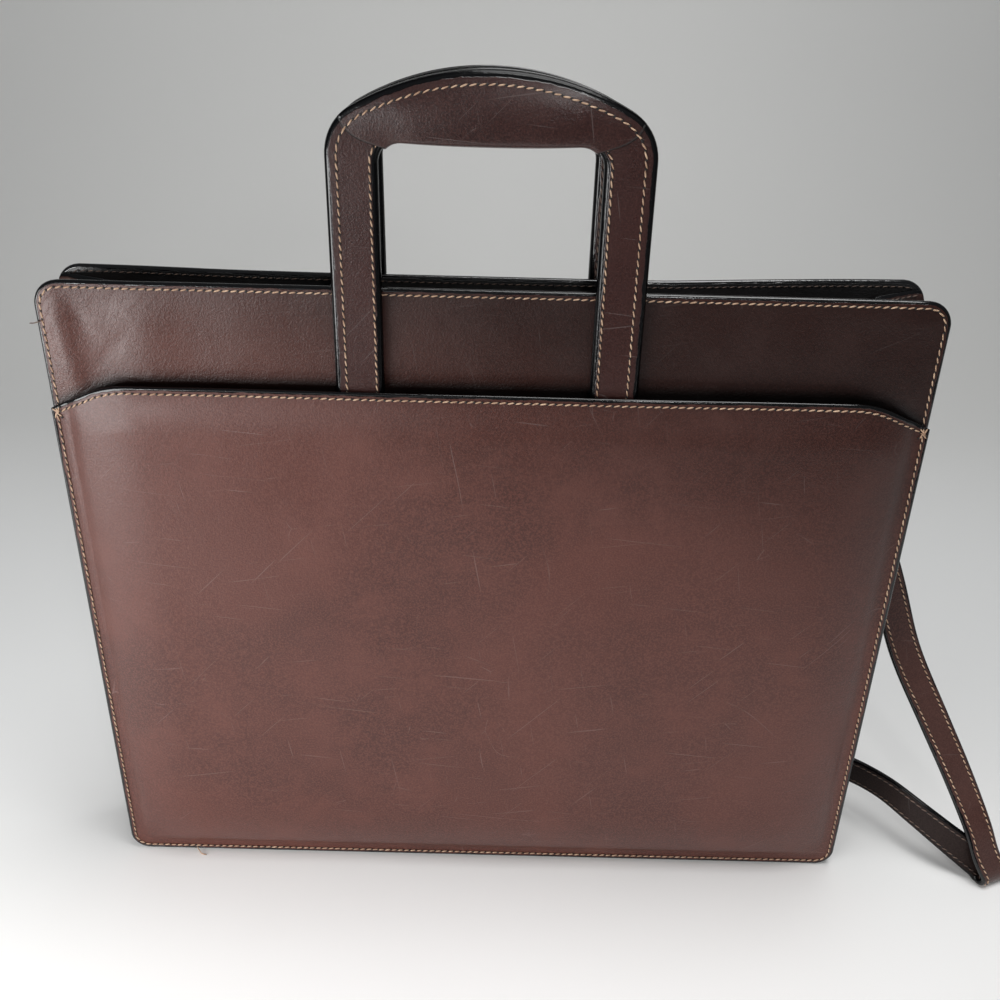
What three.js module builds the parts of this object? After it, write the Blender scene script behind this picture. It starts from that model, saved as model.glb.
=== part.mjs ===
// Slim leather document case: two stiff leather walls joined by a folding gusset,
// a stitched pocket on each wall, a padded handle rising out of each pocket,
// and a flat shoulder strap that is sewn to the back wall and folds on the floor.
// Millimetres, +Z up. The case faces -Y. The origin is the middle of the front
// wall's bottom edge, on the surface that the case stands on.
import * as THREE from 'three';
import { mergeVertices } from 'three/addons/utils/BufferGeometryUtils.js';

// Driving dimensions of the walls
const wallWidth = 400;
const wallHeight = 330;
const wallThickness = 3;
const topCornerRadius = 12;
const bottomCornerRadius = 10;

// Driving dimensions of the gusset between the walls
const gapAtBase = 31;
const gussetThickness = 1.6;
const gussetInset = 6;
const gussetTopDrop = 4;
const gussetStripWidth = 56;
const gussetCornerRadius = 9;
const gussetBaseFold = 3;
const gussetFullFoldHeight = 147;
const foldNoseWidth = 3;
const edgeMargin = 1;

// Driving dimensions of the pockets
const pocketThickness = 2;
const pocketPuff = 10;
const mouthStandOff = 7.2;
const pocketMouthHeight = 285;
const mouthCornerDrop = 14;
const mouthCornerRun = 39;
const mouthTurnRadius = 45;
const pocketRim = 7;
const pocketShoulder = 18;
const mouthShoulder = 22;

// Driving dimensions of the handles
const handleWidth = 134.8;
const handleLegWidth = 21.7;
const handleThickness = 6;
const handleRise = 89;
const handleReach = 105;
const handleArchRadius = 115;
const handleShoulderRadius = 22;
const handleBandDepth = 27.6;
const handleInnerRadius = 9;
const handleCentreX = -1.7;
const backHandleShift = -1.3;
const backHandleDrop = 1.2;
const gripThickness = 15;
const gripSkin = 1.5;
const gripEndAngle = 45;

// Driving dimensions of the shoulder strap
const strapWidth = 18;
const strapThickness = 3;
const strapSewnHeight = 314;
const strapSewnLength = 17;
const strapSewnAcross = 0.93;
const strapFoldRadius = 3.4;

// Gap that leather pieces lying on each other keep
const clearance = 0.3;

// Steps of the meshes
const cornerSteps = 4;
const handleArcSteps = 5;
const gripStations = 14;
const gussetSideSteps = 8;
const strapSubsteps = 2;

// Colours of the leathers
const brownLeather = { color: 0x4a2c28, roughness: 0.45, metalness: 0 };
const darkLeather = { color: 0x2c1a18, roughness: 0.5, metalness: 0 };

const halfWidth = wallWidth / 2;
const wallFront = -wallThickness / 2;
const wallBack = wallThickness / 2;

// Clear gap between the walls along their top edges, as shares of the base gap.
// Across runs from -1 at the left end to 1 at the right end.
const topGap = [
  { across: -1.0, gap: 0.77 },
  { across: -0.8, gap: 0.72 },
  { across: -0.6, gap: 0.62 },
  { across: -0.38, gap: 0.58 },
  { across: 0.38, gap: 0.58 },
  { across: 0.6, gap: 0.78 },
  { across: 0.8, gap: 0.93 },
  { across: 1.0, gap: 1.0 },
];

function lerp(a, b, share) {
  return a + (b - a) * share;
}

function smooth(share) {
  const t = Math.min(Math.max(share, 0), 1);
  return t * t * (3 - 2 * t);
}

// Value of a named column at a place, in a straight line between the rows of a table
function readTable(table, key, column, place) {
  const last = table[table.length - 1];
  if (place <= table[0][key]) {
    return table[0][column];
  }
  for (let i = 1; i < table.length; i += 1) {
    const low = table[i - 1];
    const high = table[i];
    if (place <= high[key]) {
      return lerp(low[column], high[column], (place - low[key]) / (high[key] - low[key]));
    }
  }
  return last[column];
}

// The back wall leans in towards the handles: its gap runs straight from the
// base to the top edge, and the top edge waves as the table says.
function gapBetweenWalls(x, z) {
  const top = gapAtBase * readTable(topGap, 'across', 'gap', x / halfWidth);
  return lerp(gapAtBase, top, z / wallHeight);
}

function backWallInner(x, z) {
  return wallBack + gapBetweenWalls(x, z);
}

function backWallOuter(x, z) {
  return backWallInner(x, z) + wallThickness;
}

// One closed body from a list of equal closed sections, each a list of points
function loft(sections) {
  const count = sections[0].length;
  const position = [];
  const index = [];
  sections.forEach((section) => {
    section.forEach((point) => position.push(point.x, point.y, point.z));
  });
  for (let i = 0; i + 1 < sections.length; i += 1) {
    for (let k = 0; k < count; k += 1) {
      const a = i * count + k;
      const b = i * count + ((k + 1) % count);
      index.push(a, b, b + count);
      index.push(a, b + count, a + count);
    }
  }
  return { position, index, count };
}

// Flat end of a loft: the section is cut into triangles in its own plane
function capLoft(body, sections, atEnd) {
  const section = atEnd ? sections[sections.length - 1] : sections[0];
  const first = atEnd ? (sections.length - 1) * body.count : 0;
  const origin = section[0];
  const normal = new THREE.Vector3();
  section.forEach((point, k) => {
    const next = section[(k + 1) % section.length];
    const a = point.clone().sub(origin);
    const b = next.clone().sub(origin);
    normal.add(a.cross(b));
  });
  normal.normalize();
  const across = new THREE.Vector3(0, 1, 0);
  if (Math.abs(normal.y) > 0.9) {
    across.set(1, 0, 0);
  }
  const u = across.clone().cross(normal).normalize();
  const v = normal.clone().cross(u);
  const flat = section.map((point) => {
    const arm = point.clone().sub(origin);
    return new THREE.Vector2(arm.dot(u), arm.dot(v));
  });
  THREE.ShapeUtils.triangulateShape(flat, []).forEach(([a, b, c]) => {
    if (atEnd) {
      body.index.push(first + a, first + b, first + c);
    } else {
      body.index.push(first + c, first + b, first + a);
    }
  });
}

// Merges what touches, and turns the faces outwards if the body is inside out
function closeBody(geometry) {
  const merged = mergeVertices(geometry, 1e-4);
  const place = merged.attributes.position;
  const corners = merged.index.array;
  const [a, b, c] = [new THREE.Vector3(), new THREE.Vector3(), new THREE.Vector3()];
  let volume = 0;
  for (let i = 0; i < corners.length; i += 3) {
    a.fromBufferAttribute(place, corners[i]);
    b.fromBufferAttribute(place, corners[i + 1]);
    c.fromBufferAttribute(place, corners[i + 2]);
    volume += a.dot(b.cross(c));
  }
  if (volume < 0) {
    merged.setIndex(Array.from(corners).reverse());
  }
  merged.computeVertexNormals();
  return merged;
}

function bodyGeometry(position, index) {
  const geometry = new THREE.BufferGeometry();
  geometry.setAttribute('position', new THREE.Float32BufferAttribute(position, 3));
  geometry.setIndex(index);
  return closeBody(geometry);
}

function loftGeometry(sections) {
  const body = loft(sections);
  capLoft(body, sections, false);
  capLoft(body, sections, true);
  return bodyGeometry(body.position, body.index);
}

// Leather sheet whose two faces are functions of x and z. Its columns stand at
// the given x, and its rows run from the bottom edge to the top edge.
function sheetGeometry({ columns, rowsAt, nearFace, farFace }) {
  const sections = columns.map((x) => {
    const rows = rowsAt(x);
    const near = rows.map((z) => new THREE.Vector3(x, nearFace(x, z), z));
    const far = rows.map((z) => new THREE.Vector3(x, farFace(x, z), z));
    return near.concat(far.reverse());
  });
  const body = loft(sections);
  const rowCount = sections[0].length / 2;
  const addEnd = (first, flip) => {
    for (let k = 0; k + 1 < rowCount; k += 1) {
      const a = first + k;
      const b = first + k + 1;
      const c = first + 2 * rowCount - 2 - k;
      const d = first + 2 * rowCount - 1 - k;
      body.index.push(...(flip ? [a, b, c, a, c, d] : [c, b, a, d, c, a]));
    }
  };
  addEnd(0, false);
  addEnd((sections.length - 1) * body.count, true);
  return bodyGeometry(body.position, body.index);
}

// Heights of a wall's rounded outline at x
function wallBottomAt(x) {
  const past = Math.abs(x) - (halfWidth - bottomCornerRadius);
  if (past <= 0) {
    return 0;
  }
  return bottomCornerRadius - Math.sqrt(Math.max(bottomCornerRadius ** 2 - past ** 2, 0));
}

function wallTopAt(x) {
  const past = Math.abs(x) - (halfWidth - topCornerRadius);
  if (past <= 0) {
    return wallHeight;
  }
  return wallHeight - topCornerRadius + Math.sqrt(Math.max(topCornerRadius ** 2 - past ** 2, 0));
}

// Columns of a sheet: the rounded corners at both ends, and named places between
function sheetColumns(cornerRadius, places) {
  const right = [];
  for (let k = 0; k <= cornerSteps; k += 1) {
    const turn = (k / cornerSteps) * (Math.PI / 2);
    right.push(halfWidth - cornerRadius + cornerRadius * Math.sin(turn));
  }
  const left = right.map((x) => -x).reverse();
  return left.concat(places, right);
}

function leather(name, geometry, look) {
  const mesh = new THREE.Mesh(geometry, new THREE.MeshStandardMaterial(look));
  mesh.name = name;
  return mesh;
}

// Walls: each is two leathers glued and sewn round the edge, with rounded corners
function makeWall(name, nearFace, farFace, places) {
  const geometry = sheetGeometry({
    columns: sheetColumns(topCornerRadius, places),
    rowsAt: (x) => [wallBottomAt(x), wallTopAt(x)],
    nearFace,
    farFace,
  });
  return leather(name, geometry, brownLeather);
}

const frontWall = makeWall('front_wall', () => wallFront, () => wallBack, []);
const bendPlaces = topGap.slice(1, -1).map((row) => row.across * halfWidth);
const backWall = makeWall('back_wall', backWallInner, backWallOuter, bendPlaces);

// Pockets: a panel sewn to its wall along the sides and the bottom. It puffs out
// inside a flat rim, and its open mouth stands off the wall round the handle's legs.
function pocketTopAt(x) {
  const fromSide = halfWidth - Math.abs(x);
  const angle = Math.asin(Math.min(mouthCornerRun / 2 / mouthTurnRadius, 0.5));
  const turnRun = mouthTurnRadius * Math.sin(angle);
  const turnDrop = mouthTurnRadius * (1 - Math.cos(angle));
  const lineRun = mouthCornerRun - turnRun;
  if (fromSide >= mouthCornerRun) {
    return pocketMouthHeight;
  }
  if (fromSide >= lineRun) {
    const left = mouthCornerRun - fromSide;
    return pocketMouthHeight - mouthTurnRadius + Math.sqrt(mouthTurnRadius ** 2 - left ** 2);
  }
  const lineDrop = mouthCornerDrop - turnDrop;
  return pocketMouthHeight - turnDrop - lineDrop * (1 - fromSide / lineRun);
}

function pocketPuffAt(x, z) {
  const fromSide = smooth((halfWidth - Math.abs(x) - pocketRim) / pocketShoulder);
  const fromBottom = smooth((z - pocketRim) / pocketShoulder);
  const fromMouth = smooth((pocketTopAt(x) - z) / mouthShoulder);
  return lerp(mouthStandOff, pocketPuff, fromMouth) * fromSide * fromBottom;
}

function pocketRows(x) {
  const bottom = wallBottomAt(x);
  const top = pocketTopAt(x);
  const lower = [0, 0.35, 0.55, 0.72, 0.88, 1];
  const upper = [1, 0.62, 0.28, 0];
  const lowerReach = pocketRim + pocketShoulder;
  const low = lower.map((share) => bottom + (lowerReach - bottom) * share);
  const high = upper.map((share) => top - mouthShoulder * share);
  const middle = (low[low.length - 1] + high[0]) / 2;
  return low.concat([middle], high);
}

// Columns of a pocket from its right side inwards, as shares of rim and shoulder
function pocketColumns() {
  const shoulder = [0, 0.25, 0.5, 0.75, 1];
  const right = shoulder.map((share) => halfWidth - pocketRim - pocketShoulder * share).reverse();
  const turn = [halfWidth - mouthCornerRun, halfWidth - mouthCornerRun * 0.78];
  const inner = [-0.38, 0, 0.38, 0.6].map((share) => share * halfWidth);
  const left = right.concat().reverse().map((x) => -x);
  const leftTurn = turn.concat().reverse().map((x) => -x);
  const leftInner = [-0.6 * halfWidth];
  return sheetColumns(bottomCornerRadius / 2, left.concat(leftTurn, leftInner, inner, turn, right))
    .sort((a, b) => a - b);
}

function makePocket(name, outward, seat) {
  const skinInner = (x, z) => seat(x, z) + outward * (clearance + pocketPuffAt(x, z));
  const skinOuter = (x, z) => skinInner(x, z) + outward * pocketThickness;
  const geometry = sheetGeometry({
    columns: pocketColumns(),
    rowsAt: pocketRows,
    nearFace: outward < 0 ? skinOuter : skinInner,
    farFace: outward < 0 ? skinInner : skinOuter,
  });
  return leather(name, geometry, brownLeather);
}

const frontPocket = makePocket('front_pocket', -1, () => wallFront);
const backPocket = makePocket('back_pocket', 1, backWallOuter);

// Gusset: one long strip that runs down the left side, along the base and up the
// right side. Its flanges lie on the walls, and between them it folds inwards.
const foldHalfWidth = gussetStripWidth / 2;
const gussetLine = halfWidth - gussetInset;

function foldDepth(x, z) {
  const halfGap = gapBetweenWalls(x, z) / 2 - clearance - gussetThickness / 2;
  const open = Math.sqrt(Math.max(foldHalfWidth ** 2 - halfGap ** 2, gussetBaseFold ** 2));
  const startOfFold = gussetInset + gussetCornerRadius;
  const share = (z - startOfFold) / (gussetFullFoldHeight - startOfFold);
  return lerp(gussetBaseFold, open, smooth(share));
}

// How far the flanges reach outwards: less inside the walls' rounded top corners
function flangeReach(z) {
  const intoCorner = Math.max(z - (wallHeight - topCornerRadius), 0);
  const cutBack = topCornerRadius - Math.sqrt(topCornerRadius ** 2 - intoCorner ** 2);
  return gussetInset - edgeMargin - cutBack;
}

function gussetPath() {
  const top = wallHeight - gussetTopDrop;
  const cornerStart = wallHeight - topCornerRadius;
  const bend = gussetInset + gussetCornerRadius;
  const centreX = gussetLine - gussetCornerRadius;
  const stations = [{ x: gussetLine, z: top, inX: -1, inZ: 0 }];
  for (let k = 0; k <= gussetSideSteps; k += 1) {
    const z = lerp(cornerStart, bend, k / gussetSideSteps);
    stations.push({ x: gussetLine, z, inX: -1, inZ: 0 });
  }
  for (let k = 1; k <= cornerSteps; k += 1) {
    const turn = (k / cornerSteps) * (Math.PI / 2);
    stations.push({
      x: centreX + gussetCornerRadius * Math.cos(turn),
      z: bend - gussetCornerRadius * Math.sin(turn),
      inX: -Math.cos(turn),
      inZ: Math.sin(turn),
    });
  }
  const left = stations.map((s) => ({ x: -s.x, z: s.z, inX: -s.inX, inZ: s.inZ }));
  const middle = [{ x: 0, z: gussetInset, inX: 0, inZ: 1 }];
  return left.concat(middle, stations.concat().reverse());
}

// Closed outline of a folded strip: its centre line moved to both sides
function thicken(line, thickness) {
  const sides = [[], []];
  line.forEach((point, k) => {
    const before = line[Math.max(k - 1, 0)];
    const after = line[Math.min(k + 1, line.length - 1)];
    const first = point.clone().sub(before).normalize();
    const second = after.clone().sub(point).normalize();
    if (k === 0) {
      first.copy(second);
    }
    if (k === line.length - 1) {
      second.copy(first);
    }
    const normal = new THREE.Vector2(-first.y - second.y, first.x + second.x).normalize();
    const reach = thickness / 2 / Math.max(normal.dot(new THREE.Vector2(-first.y, first.x)), 0.35);
    sides[0].push(point.clone().addScaledVector(normal, reach));
    sides[1].push(point.clone().addScaledVector(normal, -reach));
  });
  return sides[0].concat(sides[1].reverse());
}

function gussetSection(station) {
  const flange = flangeReach(station.z);
  const front = wallBack + clearance + gussetThickness / 2;
  const back = backWallInner(station.x, station.z) - clearance - gussetThickness / 2;
  const middle = (front + back) / 2;
  const depth = foldDepth(station.x, station.z);
  const line = [
    new THREE.Vector2(-flange, front),
    new THREE.Vector2(0, front),
    new THREE.Vector2(depth, middle - foldNoseWidth / 2),
    new THREE.Vector2(depth, middle + foldNoseWidth / 2),
    new THREE.Vector2(0, back),
    new THREE.Vector2(-flange, back),
  ];
  return thicken(line, gussetThickness).map((point) => new THREE.Vector3(
    station.x + station.inX * point.x,
    point.y,
    station.z + station.inZ * point.x,
  ));
}

const gusset = leather('gusset', loftGeometry(gussetPath().map(gussetSection)), darkLeather);

// Handles: a stiff frame of layered leather with two legs and an arch, drawn in
// its own plane with its zero height at the wall's top edge
const legOuter = handleWidth / 2;
const legInner = legOuter - handleLegWidth;
const bandUnderside = handleRise - handleBandDepth;
const shoulderX = legOuter - handleShoulderRadius;
const archCentreZ = handleRise - handleArchRadius;
const centreDistance = handleArchRadius - handleShoulderRadius;
const shoulderZ = archCentreZ + Math.sqrt(centreDistance ** 2 - shoulderX ** 2);
const archEndAngle = Math.atan2(shoulderZ - archCentreZ, shoulderX);
const innerX = legInner - handleInnerRadius;
const innerZ = bandUnderside - handleInnerRadius;
const endAngle = THREE.MathUtils.degToRad(gripEndAngle);

function frameShape() {
  const shape = new THREE.Shape();
  shape.moveTo(-legOuter, -handleReach);
  shape.lineTo(-legInner, -handleReach);
  shape.lineTo(-legInner, innerZ);
  shape.absarc(-innerX, innerZ, handleInnerRadius, Math.PI, Math.PI / 2, true);
  shape.lineTo(innerX, bandUnderside);
  shape.absarc(innerX, innerZ, handleInnerRadius, Math.PI / 2, 0, true);
  shape.lineTo(legInner, -handleReach);
  shape.lineTo(legOuter, -handleReach);
  shape.lineTo(legOuter, shoulderZ);
  shape.absarc(shoulderX, shoulderZ, handleShoulderRadius, 0, archEndAngle, false);
  shape.absarc(0, archCentreZ, handleArchRadius, archEndAngle, Math.PI - archEndAngle, false);
  shape.absarc(-shoulderX, shoulderZ, handleShoulderRadius, Math.PI - archEndAngle, Math.PI, false);
  shape.lineTo(-legOuter, -handleReach);
  return shape;
}

function frameGeometry() {
  const geometry = new THREE.ExtrudeGeometry(frameShape(), {
    depth: handleThickness,
    curveSegments: handleArcSteps,
    bevelEnabled: false,
  });
  geometry.rotateX(Math.PI / 2);
  geometry.translate(0, handleThickness / 2, 0);
  geometry.deleteAttribute('normal');
  geometry.deleteAttribute('uv');
  return closeBody(geometry);
}

// The padded grip is a sleeve folded round the arch from below. Its seams sit at
// the middle of the shoulder bends.
function gripOuterLine() {
  const line = new THREE.Path();
  const start = Math.PI - endAngle;
  line.absarc(-shoulderX, shoulderZ, handleShoulderRadius, start, Math.PI - archEndAngle, true);
  line.absarc(0, archCentreZ, handleArchRadius, Math.PI - archEndAngle, archEndAngle, true);
  line.absarc(shoulderX, shoulderZ, handleShoulderRadius, archEndAngle, endAngle, true);
  return line.getSpacedPoints(gripStations);
}

function gripInnerLine() {
  const line = new THREE.Path();
  line.absarc(-innerX, innerZ, handleInnerRadius, Math.PI - endAngle, Math.PI / 2, true);
  line.lineTo(innerX, bandUnderside);
  line.absarc(innerX, innerZ, handleInnerRadius, Math.PI / 2, endAngle, true);
  return line.getSpacedPoints(gripStations);
}

// Cheeks of the grip: up runs from the underside to the sewn top edge, and
// swell is the share of the padding that stands on the cheek there
const gripCheek = [
  { up: 1.0, swell: 0.0 },
  { up: 0.84, swell: 0.42 },
  { up: 0.62, swell: 0.86 },
  { up: 0.38, swell: 1.0 },
  { up: 0.15, swell: 0.86 },
  { up: 0.02, swell: 0.55 },
];

// Belly of the grip below the arch: down is the share of the skin's way down,
// and wide is the share of the lowest cheek's half thickness
const gripBelly = [
  { down: 0.65, wide: 0.82 },
  { down: 1.0, wide: 0.5 },
];

function gripSection(outer, inner, share) {
  const height = outer.distanceTo(inner);
  const up = outer.clone().sub(inner).normalize();
  const slot = handleThickness / 2 + clearance;
  const edge = handleThickness / 2 + clearance + gripSkin;
  const fullness = Math.sin(Math.PI * share) ** 0.5;
  const swellRoom = (gripThickness / 2 - edge) * fullness;
  const under = clearance + gripSkin;
  const right = gripCheek.map((row) => [height * row.up, edge + swellRoom * row.swell]);
  const lowest = right[right.length - 1][1];
  right.push(...gripBelly.map((row) => [-under * row.down, lowest * row.wide]));
  const left = right.map(([h, y]) => [h, -y]).reverse();
  const slotLine = [
    [height, -slot],
    [-clearance, -slot],
    [-clearance, slot],
    [height, slot],
  ];
  return right.concat(left, slotLine).map(([h, y]) => new THREE.Vector3(
    inner.x + up.x * h,
    y,
    inner.y + up.y * h,
  ));
}

function gripGeometry() {
  const outer = gripOuterLine();
  const inner = gripInnerLine();
  const sections = outer.map((point, k) => gripSection(point, inner[k], k / gripStations));
  return loftGeometry(sections);
}

function makeHandle(side, look) {
  const handle = new THREE.Group();
  handle.add(leather(`${side}_handle_frame`, frameGeometry(), look));
  handle.add(leather(`${side}_handle_grip`, gripGeometry(), look));
  return handle;
}

const frontHandle = makeHandle('front', brownLeather);
const frontSeat = wallFront - clearance - handleThickness / 2;
frontHandle.position.set(handleCentreX, frontSeat, wallHeight);

const backHandle = makeHandle('back', brownLeather);
const handleGap = gapBetweenWalls(handleCentreX, wallHeight);
const backLean = Math.atan2(gapAtBase - handleGap, wallHeight);
const backSeat = (clearance + handleThickness / 2) / Math.cos(backLean);
const backTopOuter = backWallOuter(handleCentreX, wallHeight);
backHandle.position.set(
  handleCentreX + backHandleShift,
  backTopOuter + backSeat + backHandleDrop * Math.tan(backLean),
  wallHeight - backHandleDrop,
);
backHandle.rotation.x = backLean;

// Shoulder strap: two leathers sewn flat. Both ends are sewn to the outside of
// the back wall near its top corners. It hangs past the right edge, folds back
// on the floor in front of that corner, and hangs behind the case to the left end.
// In the tables across is a share of the half width, up a share of the sewn
// height, and back runs from the front wall's middle at 0 to the plane where the
// strap rests against the back pocket at 1. edge points to the strap's right edge,
// which is its upper edge once it has folded back.
const strapPocketFace = backWallOuter(0, 0) + clearance + pocketPuff + pocketThickness;
const strapRestPlane = strapPocketFace + 2 * clearance + strapThickness / 2;
const strapDownRun = [
  { across: 0.933, up: 0.925, back: 0.82, edge: [1, 0, 0] },
  { across: 0.938, up: 0.903, back: 0.92, edge: [1, 0, 0] },
  { across: 0.950, up: 0.860, back: 0.99, edge: [1, 0, 0] },
  { across: 0.970, up: 0.740, back: 1.02, edge: [1, 0, 0.1] },
  { across: 1.022, up: 0.630, back: 0.97, edge: [1, 0.04, 0.15] },
  { across: 1.088, up: 0.505, back: 0.84, edge: [1, 0.12, 0.2] },
  { across: 1.152, up: 0.393, back: 0.68, edge: [1, 0.22, 0.22] },
  { across: 1.252, up: 0.271, back: 0.44, edge: [0.95, 0.3, 0.22] },
  { across: 1.317, up: 0.193, back: 0.25, edge: [0.93, 0.34, 0.18] },
  { across: 1.364, up: 0.132, back: 0.08, edge: [0.92, 0.37, 0.12] },
  { across: 1.390, up: 0.093, back: -0.08, edge: [0.92, 0.38, 0.06] },
  { across: 1.412, up: 0.053, back: -0.21, edge: [0.92, 0.38, 0.03] },
];
const strapBackRun = [
  { across: 1.402, up: 0.031, back: -0.170, edge: [0.78, 0.3, 0.4] },
  { across: 1.360, up: 0.051, back: -0.135, edge: [0.66, 0.05, 0.7] },
  { across: 1.311, up: 0.069, back: -0.058, edge: [0.55, -0.19, 0.81] },
  { across: 1.266, up: 0.083, back: 0.092, edge: [0.44, -0.22, 0.86] },
  { across: 1.222, up: 0.094, back: 0.240, edge: [0.32, -0.24, 0.9] },
  { across: 1.184, up: 0.099, back: 0.470, edge: [0.2, -0.24, 0.95] },
  { across: 1.145, up: 0.099, back: 0.650, edge: [0.1, -0.18, 0.97] },
  { across: 1.098, up: 0.098, back: 0.840, edge: [0.04, -0.08, 0.99] },
  { across: 1.030, up: 0.100, back: 0.980, edge: [0.02, 0, 1] },
  { across: 0.900, up: 0.110, back: 1.015, edge: [0.1, 0, 1] },
  { across: 0.600, up: 0.160, back: 1.020, edge: [0.25, 0, 1] },
  { across: 0.250, up: 0.262, back: 1.020, edge: [0.4, 0, 1] },
  { across: -0.100, up: 0.402, back: 1.020, edge: [0.6, 0, 1] },
  { across: -0.420, up: 0.565, back: 1.010, edge: [0.8, 0, 1] },
  { across: -0.680, up: 0.725, back: 0.960, edge: [1, 0, 0.9] },
  { across: -0.840, up: 0.835, back: 0.920, edge: [1, 0, 0.55] },
  { across: -0.898, up: 0.895, back: 0.825, edge: [1, 0, 0.25] },
  { across: -0.920, up: 0.928, back: 0.715, edge: [1, 0, 0.08] },
];
const strapFold = { across: 1.4335, back: -0.2375, startAngle: 153, endAngle: 325, steps: 6 };
const strapFoldCrease = new THREE.Vector3(0.923, 0.384, 0);

function strapRow(row) {
  const place = new THREE.Vector3(
    row.across * halfWidth,
    row.back * strapRestPlane,
    row.up * strapSewnHeight,
  );
  return { place, edge: new THREE.Vector3(...row.edge).normalize() };
}

// A sewn end lies flat on the back wall
function sewnEnd(side) {
  const x = side * strapSewnAcross * halfWidth;
  return [0, 0.5, 1].map((share) => {
    const z = strapSewnHeight - strapSewnLength * share;
    const rise = backWallOuter(x + strapWidth / 2, z) - backWallOuter(x - strapWidth / 2, z);
    return {
      place: new THREE.Vector3(x, backWallOuter(x, z) + 2 * clearance + strapThickness / 2, z),
      edge: new THREE.Vector3(strapWidth, rise, 0).normalize(),
    };
  });
}

// The fold is a tight turn about its crease, with its lowest face on the floor
function foldRows() {
  const backward = new THREE.Vector3(-strapFoldCrease.y, strapFoldCrease.x, 0);
  const centre = new THREE.Vector3(
    strapFold.across * halfWidth,
    strapFold.back * strapRestPlane,
    strapFoldRadius + strapThickness / 2,
  );
  const rows = [];
  for (let k = 0; k <= strapFold.steps; k += 1) {
    const angle = lerp(strapFold.startAngle, strapFold.endAngle, k / strapFold.steps);
    const turn = THREE.MathUtils.degToRad(angle);
    const place = centre.clone().addScaledVector(backward, strapFoldRadius * Math.cos(turn));
    place.z += strapFoldRadius * Math.sin(turn);
    rows.push({ place, edge: strapFoldCrease.clone() });
  }
  return rows;
}

function strapSection(place, along, edge) {
  const across = edge.clone().addScaledVector(along, -edge.dot(along)).normalize();
  const face = along.clone().cross(across).normalize();
  const corners = [[1, 1], [-1, 1], [-1, -1], [1, -1]];
  return corners.map(([w, t]) => place.clone()
    .addScaledVector(across, (w * strapWidth) / 2)
    .addScaledVector(face, (t * strapThickness) / 2));
}

function strapGeometry() {
  const rows = [
    ...sewnEnd(1),
    ...strapDownRun.map(strapRow),
    ...foldRows(),
    ...strapBackRun.map(strapRow),
    ...sewnEnd(-1).reverse(),
  ];
  const curve = new THREE.CatmullRomCurve3(rows.map((row) => row.place), false, 'centripetal');
  const spans = rows.length - 1;
  const sections = [];
  for (let k = 0; k <= spans * strapSubsteps; k += 1) {
    const span = Math.min(Math.floor(k / strapSubsteps), spans - 1);
    const share = k / strapSubsteps - span;
    const place = curve.getPoint(k / (spans * strapSubsteps));
    const along = curve.getTangent(k / (spans * strapSubsteps)).normalize();
    const edge = rows[span].edge.clone().lerp(rows[span + 1].edge, share).normalize();
    sections.push(strapSection(place, along, edge));
  }
  return loftGeometry(sections);
}

const shoulderStrap = leather('shoulder_strap', strapGeometry(), brownLeather);

const documentCase = new THREE.Group();
documentCase.add(frontWall, backWall, gusset);
documentCase.add(frontPocket, backPocket);
documentCase.add(frontHandle, backHandle);
documentCase.add(shoulderStrap);

export default documentCase;
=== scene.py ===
# Leather document case: two boards of brown polished cowhide with black painted
# edges, joined by a folding gusset, with a moulded pocket and a padded handle on
# each board, and a flat shoulder strap. Lengths in the sections are millimetres.
import math

import bmesh
import bpy
import numpy as np
from mathutils import Matrix, Vector


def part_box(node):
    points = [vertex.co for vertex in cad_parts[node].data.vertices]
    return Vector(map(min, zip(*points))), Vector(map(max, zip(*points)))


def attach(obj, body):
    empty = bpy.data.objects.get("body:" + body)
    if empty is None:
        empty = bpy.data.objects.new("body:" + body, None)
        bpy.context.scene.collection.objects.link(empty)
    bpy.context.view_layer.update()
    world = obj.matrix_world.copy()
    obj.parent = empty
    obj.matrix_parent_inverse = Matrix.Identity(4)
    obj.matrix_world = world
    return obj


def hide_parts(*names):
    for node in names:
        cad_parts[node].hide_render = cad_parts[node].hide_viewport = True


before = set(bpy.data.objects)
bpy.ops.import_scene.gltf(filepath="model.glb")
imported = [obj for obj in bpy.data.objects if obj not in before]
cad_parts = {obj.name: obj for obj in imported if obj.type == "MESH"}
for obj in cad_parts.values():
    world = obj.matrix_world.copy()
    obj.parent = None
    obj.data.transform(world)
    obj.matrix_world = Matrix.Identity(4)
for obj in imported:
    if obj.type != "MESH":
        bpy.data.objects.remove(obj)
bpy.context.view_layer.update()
METRES = 0.001


# Front wall. The real one is two leathers glued back to back and sewn round the
# edge with waxed thread. The edge is sanded round, dyed and painted glossy black,
# and the paint laps onto the face. Near its left end the leather is creased.

wall_low, wall_high = (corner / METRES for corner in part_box("front_wall"))
half_width = wall_high.x
wall_height = wall_high.z
wall_thickness = wall_high.y - wall_low.y
wall_front = wall_low.y
wall_back = wall_high.y
pocket_corner_height = 271.0
pocket_mouth_height = (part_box("front_pocket")[1] / METRES).z
mouth_corner_drop = 14.0
mouth_corner_run = 39.0
mouth_turn_radius = 45.0
mouth_turn = math.asin(mouth_corner_run / 2 / mouth_turn_radius)
mouth_turn_run = mouth_turn_radius * math.sin(mouth_turn)
mouth_turn_drop = mouth_turn_radius * (1 - math.cos(mouth_turn))
mouth_line_run = mouth_corner_run - mouth_turn_run
wall_corner_top = 12.0
wall_corner_bottom = 10.0
edge_bead = 1.4
edge_steps = (0, 0.1, 0.3, 0.6, 1.0, 1.4, 1.9, 2.5, 3.2, 4.0, 5.2, 7.0, 9.0, 11.5)
board_step = 3.2
seam_inset = 3.0
stitch_pitch = 3.6
stitch_length = 3.5
stitch_thread = 0.75
needle_hole_shade = 0.7
stitch_slant = math.radians(13)
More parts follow.
